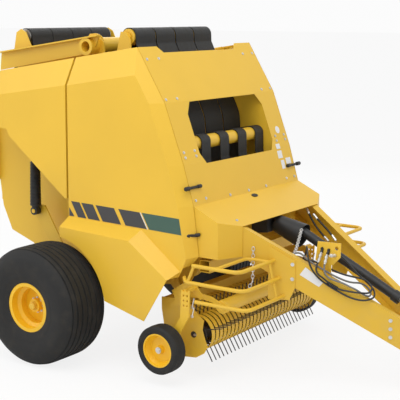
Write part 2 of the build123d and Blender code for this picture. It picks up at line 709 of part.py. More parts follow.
# Driveline: gearbox, cone over the joint, guard tube and the free yoke at the front
GEARBOX = (CROSS_X + CROSS_TUBE, 1690, 125, 1190, 1372)
CONE_REAR = (1690, 0, 1290)
CONE_MOUTH = (1990, 0, 1195)
CONE_RADII = (80, 112)
CONE_SHEET = 5
SHAFT_REAR = (1960, 0, 1247.7)
SHAFT_FRONT = (3000, 0, 733.4)
SHAFT_DIR = Vector(SHAFT_FRONT[0] - SHAFT_REAR[0], 0, SHAFT_FRONT[2] - SHAFT_REAR[2]).normalized()
GUARD_RADIUS = 42
GUARD_WALL = 6
SHAFT_RADIUS = 22
PTO_BORE = 17.45


def shaft_plane(distance):
    """A plane square to the shaft, a distance forward of its rear end."""
    origin = Vector(*spot(*SHAFT_REAR)) + SHAFT_DIR * distance
    return Plane(origin=origin, x_dir=(0, 1, 0), z_dir=SHAFT_DIR)


GUARD_LENGTH = hypot(2930 - SHAFT_REAR[0], 457)
with BuildPart() as gearbox:
    x0, x1, half, z0, z1 = GEARBOX
    with BuildSketch(side(half)):
        outline([(x0, z0), (x1, z0 + 20), (x1, z1 - 30), (x0, z1)])
    extrude(amount=2 * half)
    bar(CONE_REAR, on_line(CONE_REAR, CONE_MOUTH, 0.8), SHAFT_RADIUS + 4)
    with BuildSketch(shaft_plane(-SEAT)):
        Circle(GUARD_RADIUS - 6)
    extrude(amount=-40)
export(gearbox.part, "gearbox")

cone_axis = Vector(CONE_MOUTH[0] - CONE_REAR[0], 0, CONE_MOUTH[2] - CONE_REAR[2])
cone_base = Plane(origin=spot(*CONE_REAR), x_dir=(0, 1, 0), z_dir=cone_axis.normalized())
with BuildPart() as pto_cone:
    for shrink, mode in ((0, Mode.ADD), (CONE_SHEET, Mode.SUBTRACT)):
        with BuildSketch(cone_base.offset(28)):
            Circle(CONE_RADII[0] - shrink)
        with BuildSketch(cone_base.offset(cone_axis.length)):
            Circle(CONE_RADII[1] - shrink)
        loft(ruled=True, mode=mode)
    with BuildSketch(cone_base.offset(28)):
        Circle(CONE_RADII[0])
        Circle(SHAFT_RADIUS + 4 + SEAT, mode=Mode.SUBTRACT)
    extrude(amount=CONE_SHEET)
export(pto_cone.part, "pto_cone")

with BuildPart() as pto_guard:
    with BuildSketch(shaft_plane(0)):
        Circle(GUARD_RADIUS)
        Circle(GUARD_RADIUS - GUARD_WALL, mode=Mode.SUBTRACT)
    extrude(amount=GUARD_LENGTH)
    with BuildSketch(shaft_plane(GUARD_LENGTH - 40)):
        Circle(GUARD_RADIUS + 10)
        Circle(SHAFT_RADIUS + PIN_GAP / 5, mode=Mode.SUBTRACT)
    extrude(amount=70)
export(pto_guard.part, "pto_guard")

# Drive shaft out of its guard: a shoulder, a neck and a round knuckle, about which the coupler turns level
KNUCKLE_AT = GUARD_LENGTH + 143
KNUCKLE_BALL = 24
# Columns: start and end along the shaft, and radius
SHAFT_STEPS = [(GUARD_LENGTH - 120, GUARD_LENGTH + 60, SHAFT_RADIUS)]
SHAFT_STEPS += [(GUARD_LENGTH + 60, GUARD_LENGTH + 88, 34), (GUARD_LENGTH + 88, KNUCKLE_AT, 15)]
knuckle = Vector(*spot(*SHAFT_REAR)) + SHAFT_DIR * KNUCKLE_AT
with BuildPart() as pto_shaft:
    for start, stop, radius in SHAFT_STEPS:
        with BuildSketch(shaft_plane(start)):
            Circle(radius)
        extrude(amount=stop - start)
    with Locations(knuckle):
        Sphere(KNUCKLE_BALL)
export(pto_shaft.part, "pto_shaft")

# Coupler: two ears with their pins over the knuckle, and a collar with the bore
EAR = 12
EAR_WIDTH = 44
EAR_MIDDLE = KNUCKLE_BALL + 3 + EAR / 2
EAR_PIN_RADIUS = 11
COLLAR_RADIUS = 38
COLLAR_START = 60
COLLAR_LENGTH = 70


def coupler_plane(distance):
    """A plane square to the level coupler, a distance forward of the knuckle."""
    return Plane(origin=knuckle + Vector(distance, 0, 0), x_dir=(0, 1, 0), z_dir=(1, 0, 0))


with BuildPart() as pto_yoke:
    with BuildSketch(coupler_plane(-EAR)):
        with GridLocations(1, 2 * EAR_MIDDLE, 1, 2):
            Rectangle(EAR_WIDTH, EAR)
    extrude(amount=COLLAR_START)
    for sign in (1, -1):
        with BuildSketch(level(knuckle.Z + sign * (KNUCKLE_BALL + SEAT))):
            with Locations((knuckle.X - AXLE_X, 0)):
                Circle(EAR_PIN_RADIUS)
        extrude(amount=sign * EAR)
    with BuildSketch(coupler_plane(COLLAR_START - EAR)):
        Circle(COLLAR_RADIUS)
    extrude(amount=EAR)
    with BuildSketch(coupler_plane(COLLAR_START)):
        Circle(COLLAR_RADIUS)
        Circle(PTO_BORE, mode=Mode.SUBTRACT)
    extrude(amount=COLLAR_LENGTH)
export(pto_yoke.part, "pto_yoke")

# Hose plate on the right-hand beam, with two keyhole slots and two round holes
HOSE_PLATE_Y = 350
HOSE_PLATE = [(2332, 1253), (2552, 1258), (2549, 1137), (2478, 1062), (2312, 1083)]
HOSE_SLOTS = [(2377, 1195), (2440, 1190)]
HOSE_HOLES = [(2512, 1212, 17), (2505, 1150, 9)]
HOSE_SHEET = 6
HOSE_FOOT = (2345, 2465)
with BuildPart() as hose_plate:
    with BuildSketch(side(-HOSE_PLATE_Y)):
        outline(HOSE_PLATE)
        with Locations(*HOSE_SLOTS):
            Circle(13, mode=Mode.SUBTRACT)
        for x, z in HOSE_SLOTS:
            with Locations((x, z - 24)):
                Rectangle(11, 40, mode=Mode.SUBTRACT)
        for x, z, radius in HOSE_HOLES:
            with Locations((x, z)):
                Circle(radius, mode=Mode.SUBTRACT)
    extrude(amount=HOSE_SHEET)
    with BuildSketch(side(-HOSE_PLATE_Y)):
        outline(
            [
                (HOSE_FOOT[0], flange_top(HOSE_FOOT[0], HOSE_PLATE_Y) + SEAT + HOSE_SHEET / 2),
                (HOSE_FOOT[1], flange_top(HOSE_FOOT[1], HOSE_PLATE_Y) + SEAT + HOSE_SHEET / 2),
                (HOSE_FOOT[1], HOSE_PLATE[3][1] + 40),
                (HOSE_FOOT[0], HOSE_PLATE[3][1] + 40),
            ]
        )
    extrude(amount=HOSE_SHEET)
    beam_section(-1, HOSE_FOOT[0], HOSE_FOOT[1] + 25, -SEAT - HOSE_SHEET, -SEAT, 0, BEAM_FLANGE)
export(hose_plate.part, "hose_plate")

# Guard rails beside the pickup, on a gusset bolted to each beam: height, rear x and y, bend x, corner x
RAIL_TUBE = 17
RAIL_BEND = 75
RAIL_Y = 1125
POST_Y = 655
BRANCH_X = 1800
GUARD_RAILS = [(1084, 1570, 1125, 1700, 2030), (933, 1405, 1010, 1500, 2080), (775, 1600, 1125, 1700, 2113)]
GUSSET = (1985, 2205)
GUSSET_PLATE = 10
GUSSET_FOOT = 745
GUSSET_TOP = 26
with BuildPart() as guard_rails:
    for sign in (1, -1):
        run = (GUSSET[1] - GUSSET[0]) / cos(TONGUE_YAW)
        with BuildSketch(beam_plane(sign, GUSSET[0], SEAT)):
            outline(
                [
                    (0, beam_top(GUSSET[0]) - GUSSET_TOP),
                    (run, beam_top(GUSSET[1]) - GUSSET_TOP),
                    (run, beam_top(GUSSET[1]) - BEAM_DEPTH),
                    (run * 0.8, GUSSET_FOOT),
                    (0, GUSSET_FOOT),
                ]
            )
        extrude(amount=GUSSET_PLATE if sign < 0 else -GUSSET_PLATE)
        for z, rear, rear_y, bend, corner in GUARD_RAILS:
            seat_y = beam_y(corner) + 7
            path = [(rear, sign * rear_y, z), (bend, sign * (RAIL_Y - 0.5), z)]
            path += [(corner, sign * RAIL_Y, z), (corner, sign * seat_y, z)]
            bent_tube(path, RAIL_TUBE, RAIL_BEND)
        upper, middle, lower = GUARD_RAILS
        bar((1585, sign * RAIL_Y, upper[0]), (1520, sign * RAIL_Y, middle[0]), RAIL_TUBE - 4)
        bar((upper[-1], sign * POST_Y, upper[0]), (lower[-1], sign * POST_Y, lower[0]), RAIL_TUBE - 4)
        branch = [(BRANCH_X, RAIL_Y, upper[0]), (BRANCH_X + 15, POST_Y, upper[0] + 8)]
        branch += [(upper[-1] + 10, POST_Y - 8, upper[0])]
        bent_tube([(x, sign * y, z) for x, y, z in branch], RAIL_TUBE - 3, RAIL_BEND)
export(guard_rails.part, "guard_rails")

# Jack on the left-hand beam: bolted stub, swinging tube and sliding leg
JACK_LEG_RADIUS = 26
JACK_TOP = 790
JACK_FOOT_CLEAR = 230
JACK_TRAVEL = 200
jack_out = Vector(sin(TONGUE_YAW), cos(TONGUE_YAW), 0)
jack_spot = Vector(*spot(JACK_X, beam_y(JACK_X), 0)) + jack_out * JACK_OUT


def jack_level(z):
    """A level plane on the jack's own axis."""
    return Plane(origin=(jack_spot.X, jack_spot.Y, z))


with BuildPart() as jack_tube:
    with BuildSketch(jack_level(JACK_FOOT_CLEAR)):
        Circle(JACK_TUBE_RADIUS)
    extrude(amount=JACK_TOP - JACK_FOOT_CLEAR)
    with BuildSketch(beam_plane(1, JACK_X, PLATE + 8)):
        with Locations((0, JACK_Z)):
            Circle(JACK_STUB_RADIUS + 14)
    extrude(amount=-(JACK_OUT - PLATE - 8))
    with BuildSketch(beam_plane(1, JACK_X, 0)):
        with Locations((0, JACK_Z)):
            Circle(JACK_STUB_RADIUS + PIN_GAP / 4)
    extrude(amount=-(JACK_OUT - JACK_TUBE_RADIUS - 2), mode=Mode.SUBTRACT)
    with BuildSketch(jack_level(JACK_FOOT_CLEAR)):
        Circle(JACK_LEG_RADIUS + PIN_GAP)
    extrude(amount=JACK_TOP - JACK_FOOT_CLEAR - 20, mode=Mode.SUBTRACT)
    with BuildSketch(jack_level(JACK_TOP)):
        Circle(12)
    extrude(amount=34)
    crank = Plane(origin=(jack_spot.X, jack_spot.Y, JACK_TOP + 26), x_dir=jack_out, z_dir=(0, 0, 1))
    with BuildSketch(crank):
        with Locations((60, 0)):
            Rectangle(140, 22)
    extrude(amount=8)
    with BuildSketch(Plane(origin=crank.origin + jack_out * 118 + Vector(0, 0, 8), z_dir=(0, 0, 1))):
        Circle(11)
    extrude(amount=85)
export(jack_tube.part, "jack_tube")

with BuildPart() as jack_leg:
    with BuildSketch(jack_level(0)):
        Circle(85)
    extrude(amount=10)
    with BuildSketch(jack_level(10)):
        Circle(JACK_LEG_RADIUS)
    extrude(amount=JACK_TOP - 20 - JACK_TRAVEL - 30 - 10)
export(jack_leg.part, "jack_leg")

# Tailgate walls, just inside the chamber walls, with an eye round the torque tube
GATE_HALF = CHAMBER_HALF - 13
EYE_RADIUS = 116
GATE_FRONT = 30
GATE_TIES = [(-1109, 2240, 36), (-1130, 1330, 34)]
GATE_BACK = 1180
gate_rear = [(-520, 2770), (-840, 2660), (-1060, 2420), (-GATE_BACK, 2060), (-GATE_BACK, 1560)]
gate_rear += [(-1140, 1240), (-1030, 1000)]
gate_wall = [(GATE_FRONT, 2690), (PIVOT_X - 40, 2750), (PIVOT_X - 60, PIVOT_Z + 60)] + gate_rear
gate_wall += [(-740, 900), (-520, 716), (-330, 700), (GATE_FRONT, 760)]
with BuildPart() as tailgate_walls:
    for y in (GATE_HALF + WALL, -GATE_HALF):
        with BuildSketch(side(y)):
            outline(gate_wall)
            with Locations(PIVOT):
                Circle(EYE_RADIUS)
                Circle(TORQUE_TUBE_RADIUS + SEAT, mode=Mode.SUBTRACT)
        extrude(amount=WALL)
    for x, z, half in GATE_TIES:
        with BuildSketch(side(GATE_HALF)):
            with Locations((x, z)):
                Rectangle(2 * half, 2 * half)
        extrude(amount=2 * GATE_HALF)
export(tailgate_walls.part, "tailgate_walls")

# Torque tube with the tension arms at its ends
ARM_PLATE = 12
ARM_FLANGE = 55
TUBE_HALF = 748
REAR_TOP_ROLLER = (-770, 2920, 70)
REAR_X, REAR_Z, REAR_RADIUS = REAR_TOP_ROLLER
EAR_Y = 640
EAR = [(REAR_X - 130, 2660), (REAR_X + 190, 2700), (REAR_X + 60, REAR_Z + 40)]
EAR += [(REAR_X, REAR_Z + 72), (REAR_X - 60, REAR_Z + 40)]
EAR_BOSSES = [(-880, 2700), (-620, 2735)]
arm_top = [(-986, 2776), (255, 2951)]
arm_web = arm_top + [(215, 2870), (170, 2786), (60, 2772), (-1010, 2600)]
with BuildPart() as tension_arms:
    with BuildSketch(side(TUBE_HALF)):
        with Locations(PIVOT):
            Circle(TORQUE_TUBE_RADIUS)
            Circle(TORQUE_BORE_RADIUS, mode=Mode.SUBTRACT)
    extrude(amount=2 * TUBE_HALF)
    for sign in (1, -1):
        with BuildSketch(side(sign * ARM_HALF + ARM_PLATE / 2)):
            outline(arm_web)
            with Locations(PIVOT):
                Circle(TORQUE_BORE_RADIUS, mode=Mode.SUBTRACT)
        extrude(amount=ARM_PLATE)
        with BuildSketch(side(sign * ARM_HALF + (ARM_FLANGE if sign > 0 else ARM_PLATE / 2))):
            strip(arm_top, ARM_PLATE)
        extrude(amount=ARM_FLANGE + ARM_PLATE / 2)
        with BuildSketch(side(sign * EAR_Y + (PLATE if sign > 0 else 0))):
            outline(EAR)
        extrude(amount=PLATE)
        with BuildSketch(side(ARM_HALF - ARM_PLATE / 2 if sign > 0 else -EAR_Y - PLATE)):
            with Locations(*EAR_BOSSES):
                Circle(30)
        extrude(amount=ARM_HALF - ARM_PLATE / 2 - EAR_Y - PLATE)
export(tension_arms.part, "tension_arms")

# Rollers of the tailgate: the rear top roller on the arms' ears and the rollers between the walls
GATE_ROLLER_HALF = GATE_HALF - 10
GATE_ROLLERS = [(-940, 2330, 75), (-1060, 1640, 75), (-930, 1080, 75), (-420, 800, 80)]
with BuildPart() as tailgate_rollers:
    for x, z, radius in [REAR_TOP_ROLLER] + GATE_ROLLERS:
        high = (x, z, radius) == REAR_TOP_ROLLER
        drum = ROLLER_HALF if high else GATE_ROLLER_HALF
        shaft = EAR_Y if high else GATE_HALF
        with BuildSketch(side(drum)):
            with Locations((x, z)):
                Circle(radius)
        extrude(amount=2 * drum)
        with BuildSketch(side(shaft)):
            with Locations((x, z)):
                Circle(25)
        extrude(amount=2 * shaft)
export(tailgate_rollers.part, "tailgate_rollers")

# Belts of the tailgate: over the rear top roller and down the back
REAR_WRAP = REAR_RADIUS + BELT_CLEAR + BELT / 2
REAR_TOP = REAR_Z + REAR_RADIUS + SEAT + BELT / 2
GATE_WRAP = GATE_ROLLERS[0][2] + BELT_CLEAR + BELT / 2
rear_path = [
    (-640, 2440),
    (REAR_X + REAR_WRAP + 3, REAR_Z - 10),
    (REAR_X + REAR_WRAP - 2, REAR_TOP),
    (REAR_X - REAR_WRAP, REAR_TOP),
    (REAR_X - REAR_WRAP - 6, REAR_Z - 40),
    (-1020, 2390),
    (GATE_ROLLERS[1][0] - GATE_WRAP - 2, GATE_ROLLERS[1][1]),
    (GATE_ROLLERS[2][0] - GATE_WRAP + 2, GATE_ROLLERS[2][1] - GATE_WRAP + 2),
    (-510, 868),
]
REAR_BENDS = [30, REAR_WRAP - 4, REAR_WRAP - 4, 30, 80, 80, 80]
with BuildPart() as tailgate_belts:
    for i in range(4):
        y = (i - 1.5) * BROAD_PITCH * 0.98
        belt_run(rear_path, REAR_BENDS, BROAD_BELT, y)
export(tailgate_belts.part, "tailgate_belts")

# Cross tubes of the tailgate: they tie the walls and carry the outer shields and the cylinders
GATE_TUBES = [(-180, 2420, 26), (-700, 2330, 26), (-640, 2140, 26)]
SHIELD_SEAT = SHIELD_HALF - SHEET - SEAT
CYLINDER_PLATE = 14
cylinder_plate = [(-130, 2460), (-130, 2380), (UPPER_PIN[0], UPPER_PIN[1] - 60)]
cylinder_plate += [(-750, 2290), (-750, 2370), (UPPER_PIN[0], UPPER_PIN[1] + 60)]
with BuildPart() as tailgate_tubes:
    for sign in (1, -1):
        for x, z, half in GATE_TUBES:
            with BuildSketch(side(SHIELD_SEAT if sign > 0 else -GATE_HALF - WALL)):
                with Locations((x, z)):
                    Rectangle(2 * half, 2 * half)
            extrude(amount=SHIELD_SEAT - GATE_HALF - WALL)
        inner_side = sign * (CYLINDER_Y - EYE_WIDTH / 2 - 10)
        with BuildSketch(side(inner_side + (0 if sign > 0 else CYLINDER_PLATE))):
            outline(cylinder_plate)
        extrude(amount=CYLINDER_PLATE)
export(tailgate_tubes.part, "tailgate_tubes")

# Outer shields of the tailgate, in line with the side shields
GATE_SHIELD_TOP = SEAM_X - SEAM_GAP
gate_diagonal = [(-751, 2080), (-666, 2079), (-637, 2013), (-316, 1764), (49, 1483)]
gate_low = [(-1120, 2090)] + gate_diagonal + [(72, 1483)]
gate_rim = [(GATE_SHIELD_TOP, 2749), (-620, 2640), (-820, 2609), (-1120, 2300)] + gate_low
gate_crease = [(GATE_SHIELD_TOP - 24, 2511), (-560, 2419), (-732, 2394), (-1060, 2180)] + gate_low
with BuildPart() as tailgate_shields:
    pan(gate_rim, SHELL_HALF, gate_crease, SHIELD_HALF)
    pan(gate_rim, SHELL_HALF - SHEET, gate_crease, SHIELD_HALF - SHEET, Mode.SUBTRACT)
    with BuildSketch(side(-SHIELD_HALF + SHEET)):
        strip(gate_diagonal[::-1], SHEET)
    extrude(amount=-55)
    mirror(about=Plane.XZ)
export(tailgate_shields.part, "tailgate_shields")

# Net wrap box across the back
NET_FRONT = -GATE_BACK - SEAT
NET_BOX = [(-REAR_REACH, 1560), (-REAR_REACH, 2060), (-1270, 2150)]
NET_BOX += [(NET_FRONT, 2150), (NET_FRONT, 1500), (-1290, 1500)]
NET_HALF = 680
with BuildPart() as net_box:
    with BuildSketch(side(NET_HALF)):
        outline(NET_BOX)
    extrude(amount=2 * NET_HALF)
export(net_box.part, "net_box")

# Tailgate cylinders: barrel hung on an anchor over the axle, rod up to the tailgate
BARREL_RADIUS = 38
ROD_RADIUS = 20
BARREL_LENGTH = 900
cylinder_run = Vector(UPPER_PIN[0] - LOWER_PIN[0], 0, UPPER_PIN[1] - LOWER_PIN[1])


def along_cylinder(sign, distance):
    """A plane square to a cylinder, a distance up from its lower pin."""
    foot = Vector(*spot(LOWER_PIN[0], sign * CYLINDER_Y, LOWER_PIN[1]))
    upward = cylinder_run.normalized()
    return Plane(origin=foot + upward * distance, x_dir=(0, 1, 0), z_dir=upward)


for hand, sign in (("left", 1), ("right", -1)):
    with BuildPart() as barrel:
        with BuildSketch(side(sign * CYLINDER_Y + EYE_WIDTH / 2)):
            with Locations(LOWER_PIN):
                Circle(BARREL_RADIUS + 2)
        extrude(amount=EYE_WIDTH)
        with BuildSketch(along_cylinder(sign, 20)):
            Circle(BARREL_RADIUS)
        extrude(amount=BARREL_LENGTH)
        with BuildSketch(along_cylinder(sign, 90)):
            Circle(ROD_RADIUS + PIN_GAP)
        extrude(amount=BARREL_LENGTH, mode=Mode.SUBTRACT)
        with BuildSketch(side(sign * CYLINDER_Y + EYE_WIDTH)):
            with Locations(LOWER_PIN):
                Circle(CYLINDER_PIN_RADIUS + PIN_GAP / 4)
        extrude(amount=2 * EYE_WIDTH, mode=Mode.SUBTRACT)
    export(barrel.part, f"cylinder_barrel_{hand}")
    with BuildPart() as rod:
        with BuildSketch(along_cylinder(sign, 100)):
            Circle(ROD_RADIUS)
        extrude(amount=cylinder_run.length - 100)
        with BuildSketch(side(sign * CYLINDER_Y + EYE_WIDTH / 2)):
            with Locations(UPPER_PIN):
                Circle(BARREL_RADIUS)
        extrude(amount=EYE_WIDTH)
    export(rod.part, f"cylinder_rod_{hand}")

# Pickup frame: pivot arms, cross beam, end shields and floor
REEL_X, REEL_Z = REEL
LIFT_X, LIFT_Z = PICKUP_PIVOT
PICKUP_BEAM = (1165, 650, 50)
END_PLATE_SHEET = 8
PAN = [(1258, 190), (1192, 280), (1152, 420), (1150, PICKUP_BEAM[1] - PICKUP_BEAM[2] + 5)]
end_shield = [(1110, 600), (1110, 705), (1270, 715), (1400, 690), (1500, 600), (1560, 560), (1545, 470)]
end_shield += [(1575, 380), (1600, 330), (1562, 262), (1480, 212), (1280, 190), (1185, 272), (1140, 420)]
with BuildPart() as pickup_frame:
    x, z, half = PICKUP_BEAM
    with BuildSketch(side(PICKUP_HALF)):
        with Locations((x, z)):
            Rectangle(2 * half, 2 * half)
            Rectangle(2 * half - 16, 2 * half - 16, mode=Mode.SUBTRACT)
    extrude(amount=2 * PICKUP_HALF)
    for sign in (1, -1):
        with BuildSketch(side(sign * PICKUP_ARM_Y + PLATE / 2)):
            seat = [(x - half + 5, z - half), (x - half + 5, z + half)]
            outline([(LIFT_X - 30, LIFT_Z - 45)] + seat + [(LIFT_X + 40, LIFT_Z + 42)])
            with Locations(PICKUP_PIVOT):
                Circle(55)
                Circle(LIFT_PIN_RADIUS + PIN_GAP / 4, mode=Mode.SUBTRACT)
        extrude(amount=PLATE)
        with BuildSketch(side(PICKUP_HALF + END_PLATE_SHEET if sign > 0 else -PICKUP_HALF)):
            outline(end_shield)
            with Locations(REEL):
                Circle(28 + PIN_GAP / 4, mode=Mode.SUBTRACT)
        extrude(amount=END_PLATE_SHEET)
    with BuildSketch(side(PICKUP_HALF)):
        strip(PAN, -BAND_SHEET)
    extrude(amount=2 * PICKUP_HALF)
export(pickup_frame.part, "pickup_frame")

# Stripper bands: thin hoops round the front of the reel, one between each two rows of tines
BAND_TOP_DEG = 112
BAND_FOOT_DEG = -112


def round_reel(radius, angle):
    """A point at a radius and an angle about the reel's axis."""
    return (REEL_X + radius * cos(radians(angle)), REEL_Z + radius * sin(radians(angle)))


BAND_BACK = PICKUP_BEAM[0] + PICKUP_BEAM[2]
band_head = [round_reel(BAND_RADIUS - 0.5, BAND_TOP_DEG - 4), (BAND_BACK + 75, 612), (BAND_BACK + 1, 622)]
band_foot = [round_reel(BAND_RADIUS - 0.5, BAND_FOOT_DEG + 4), (PAN[0][0] + SEAT, PAN[0][1])]
with BuildSketch(side(BAND_PITCH * (BAND_COUNT - 1) / 2 + BAND_WIDTH / 2)) as hoop:
    with Locations(REEL):
        Circle(BAND_RADIUS)
        Circle(BAND_RADIUS - BAND_SHEET, mode=Mode.SUBTRACT)
    top = round_reel(BAND_RADIUS + 1, BAND_TOP_DEG)
    foot = round_reel(BAND_RADIUS + 1, BAND_FOOT_DEG)
    behind = [(BAND_BACK, foot[1] - 60), (BAND_BACK, top[1] + 60), (top[0], top[1] + 60)]
    outline([top, foot] + behind, mode=Mode.SUBTRACT)
    strip(band_head, -BAND_SHEET)
    strip(band_foot, -BAND_SHEET)
with BuildPart() as stripper_bands:
    for i in range(BAND_COUNT):
        extrude(Pos(0, -i * BAND_PITCH, 0) * hoop.sketch, amount=BAND_WIDTH)
export(stripper_bands.part, "stripper_bands")

# Reel: tube, end discs, bars and a row of spring tines on each bar
TINE_COUNT = BAND_COUNT + 1
REEL_HALF = PICKUP_HALF - 20


def tine_edge(root, tip):
    """One spring tine seen from the side, at the left-hand end of the reel."""
    run = hypot(tip[0] - root[0], tip[1] - root[1])
    nx = (tip[1] - root[1]) / run * TINE_WIRE / 2
    nz = (root[0] - tip[0]) / run * TINE_WIRE / 2
    with BuildSketch(side(BAND_PITCH * (TINE_COUNT - 1) / 2 + TINE_WIRE / 2)) as edge:
        outline([(x + s * nx, z + s * nz) for (x, z), s in ((root, 1), (tip, 1), (tip, -1), (root, -1))])
    return edge.sketch


with BuildPart() as reel:
    with BuildSketch(side(REEL_HALF)):
        with Locations(REEL):
            Circle(REEL_TUBE_RADIUS)
    extrude(amount=2 * REEL_HALF)
    with BuildSketch(side(PICKUP_HALF + END_PLATE_SHEET + 4)):
        with Locations(REEL):
            Circle(28)
    extrude(amount=2 * (PICKUP_HALF + END_PLATE_SHEET + 4))
    for y in (REEL_HALF, -REEL_HALF + 6, 3):
        with BuildSketch(side(y)):
            with Locations(REEL):
                Circle(TINE_BAR_RADIUS + 14)
        extrude(amount=6)
    for row in range(TINE_BARS):
        angle = TINE_FIRST_DEG + row * 360 / TINE_BARS
        root = round_reel(TINE_BAR_RADIUS, angle + TINE_LAG_DEG)
        tip = round_reel(TINE_TIP_RADIUS, angle)
        with BuildSketch(side(REEL_HALF)):
            with Locations(root):
                Circle(11)
        extrude(amount=2 * REEL_HALF)
        edge = tine_edge(root, tip)
        tines = []
        for i in range(TINE_COUNT):
            tines.append(extrude(Pos(0, -i * BAND_PITCH, 0) * edge, amount=TINE_WIRE, mode=Mode.PRIVATE))
        add(tines)
export(reel.part, "reel")

# Crop roller over the pickup on two arms hinged to the pickup frame
WIND_PIVOT = (1285, 745)
WIND_ROLLER = (1692, 684)
WIND_RADIUS = 60
WIND_HALF = 860
WIND_PIN_RADIUS = 14
# The arms arch over the tips of the tines: the line of their middle, and half of their height
WIND_ARM = [WIND_PIVOT, (1455, 752), (1590, 738), (WIND_ROLLER[0] + 10, WIND_ROLLER[1] + 6)]
WIND_ARM_HALF = 24
wind_arm = [(x, z - WIND_ARM_HALF) for x, z in WIND_ARM]
wind_arm += [(x, z + WIND_ARM_HALF) for x, z in WIND_ARM[::-1]]
with BuildPart() as crop_roller:
    with BuildSketch(side(WIND_HALF)):
        with Locations(WIND_ROLLER):
            Circle(WIND_RADIUS)
    extrude(amount=2 * WIND_HALF)
    for sign in (1, -1):
        with BuildSketch(side(WIND_HALF + 10 if sign > 0 else -WIND_HALF)):
            outline(wind_arm)
            with Locations(WIND_PIVOT):
                Circle(30)
                Circle(WIND_PIN_RADIUS + PIN_GAP / 4, mode=Mode.SUBTRACT)
            with Locations(WIND_ROLLER):
                Circle(34)
        extrude(amount=10)
export(crop_roller.part, "crop_roller")

# Arch plates outside the end shields, the crop roller's pins and the gauge wheel arms
ARCH_Y = PICKUP_HALF + END_PLATE_SHEET
ARCH = [(1170, 640), (1270, 700), (1230, 783), (1350, 863), (1480, 873), (1560, 773)]
ARCH += [(1530, 740), (1462, 806), (1372, 798), (1320, 745), (1400, 690), (1270, 640)]
with BuildPart() as arch_plates:
    for sign in (1, -1):
        with BuildSketch(side(ARCH_Y + PLATE + SEAT if sign > 0 else -ARCH_Y - SEAT)):
            outline(ARCH)
        extrude(amount=PLATE)
        with BuildSketch(side(ARCH_Y + SEAT if sign > 0 else -WIND_HALF + 6)):
            with Locations(WIND_PIVOT):
                Circle(WIND_PIN_RADIUS)
        extrude(amount=ARCH_Y + SEAT - WIND_HALF + 6)
export(arch_plates.part, "arch_plates")

GAUGE_ARM_Y = 1082
GAUGE_ARM = [(1430, 850), (1520, 850), (1508, 620), (1345, 330), (GAUGE_X + 20, GAUGE_Z - 42)]
GAUGE_ARM += [(GAUGE_X - 32, GAUGE_Z - 28), (GAUGE_X - 30, GAUGE_Z + 30), (1418, 600)]
with BuildPart() as gauge_arms:
    for sign in (1, -1):
        with BuildSketch(side(GAUGE_ARM_Y + PLATE if sign > 0 else -GAUGE_ARM_Y)):
            outline(GAUGE_ARM)
            with Locations((1474, 780)):
                with GridLocations(36, 44, 2, 4):
                    Circle(9, mode=Mode.SUBTRACT)
        extrude(amount=PLATE)
        with BuildSketch(side(GAUGE_Y + 42 if sign > 0 else -GAUGE_ARM_Y)):
            with Locations((GAUGE_X, GAUGE_Z)):
                Circle(GAUGE_PIN_RADIUS)
        extrude(amount=GAUGE_Y + 42 - GAUGE_ARM_Y)
        with BuildSketch(side(GAUGE_ARM_Y if sign > 0 else -ARCH_Y - PLATE - SEAT)):
            with Locations((1466, 838)):
                Circle(22)
        extrude(amount=GAUGE_ARM_Y - ARCH_Y - PLATE - SEAT)
export(gauge_arms.part, "gauge_arms")
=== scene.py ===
"""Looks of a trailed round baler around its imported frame.

Paint, rubber, treads, stripes, bolts, chains and hoses; lengths in metres.
"""

import math

import bpy
from mathutils import Matrix, Vector


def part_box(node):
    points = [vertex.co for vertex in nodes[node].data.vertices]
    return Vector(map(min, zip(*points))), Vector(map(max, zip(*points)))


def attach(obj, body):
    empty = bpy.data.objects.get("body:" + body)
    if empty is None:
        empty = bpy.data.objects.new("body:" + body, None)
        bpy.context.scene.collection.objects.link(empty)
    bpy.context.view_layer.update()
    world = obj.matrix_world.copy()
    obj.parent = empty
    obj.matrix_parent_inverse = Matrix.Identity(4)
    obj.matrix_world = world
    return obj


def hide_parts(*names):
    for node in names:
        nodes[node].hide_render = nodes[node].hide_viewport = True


bl_info = {
    "name": "Round Baler Looks",
    "version": (1, 0, 0),
    "blender": (4, 5, 0),
    "location": "View3D > Sidebar > Baler",
    "description": "Finishes and fittings of a trailed round baler around its fixed frame",
    "category": "Object",
}

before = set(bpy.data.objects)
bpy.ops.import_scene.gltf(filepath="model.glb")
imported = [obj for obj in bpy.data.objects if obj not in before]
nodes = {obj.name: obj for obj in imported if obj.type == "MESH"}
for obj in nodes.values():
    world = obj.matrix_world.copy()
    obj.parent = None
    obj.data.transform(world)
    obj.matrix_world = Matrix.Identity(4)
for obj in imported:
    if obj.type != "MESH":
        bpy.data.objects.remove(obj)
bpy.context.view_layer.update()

# The side profiles are measured from the axle, which stands this far behind the middle of the machine
AXLE_X = -1.050
SIDES = (("left", 1), ("right", -1))

# Camera, solved from the photograph's perspective
CAMERA_PLACE = (5.418, -8.046, 3.147)
CAMERA_HEADING = 34.86
CAMERA_PITCH = -12.66
CAMERA_ROLL = -0.06
LENS_MM = 94.08
SENSOR_MM = 36.0
SHIFT_X = -0.0005
SHIFT_Y = 0.1182

# Wheels: the main tyre's radius and half of its width, how far out its middle and its disc's face stand, and the
# gauge wheel's hub and radius
MAIN_RADIUS = 0.546
MAIN_HALF = 0.273
TRACK_HALF = 1.254
DISC_FACE = 1.3505
GAUGE_HUB = (1.282, 1.180, 0.316)
GAUGE_RADIUS = 0.217

# Planes of the machine, measured from the axle: shields, shell walls, folds of the front panel, tongue beams
SHIELD_Y = 1.000
SHELL_Y = 0.895
PANEL_FOLDS = [(0.832, 2.857), (1.119, 2.394), (1.316, 1.877), (1.419, 1.534)]
BEAM_REAR = Vector((1.500, 0.748, 1.505))
BEAM_FRONT = Vector((3.190, 0.168, 0.579))


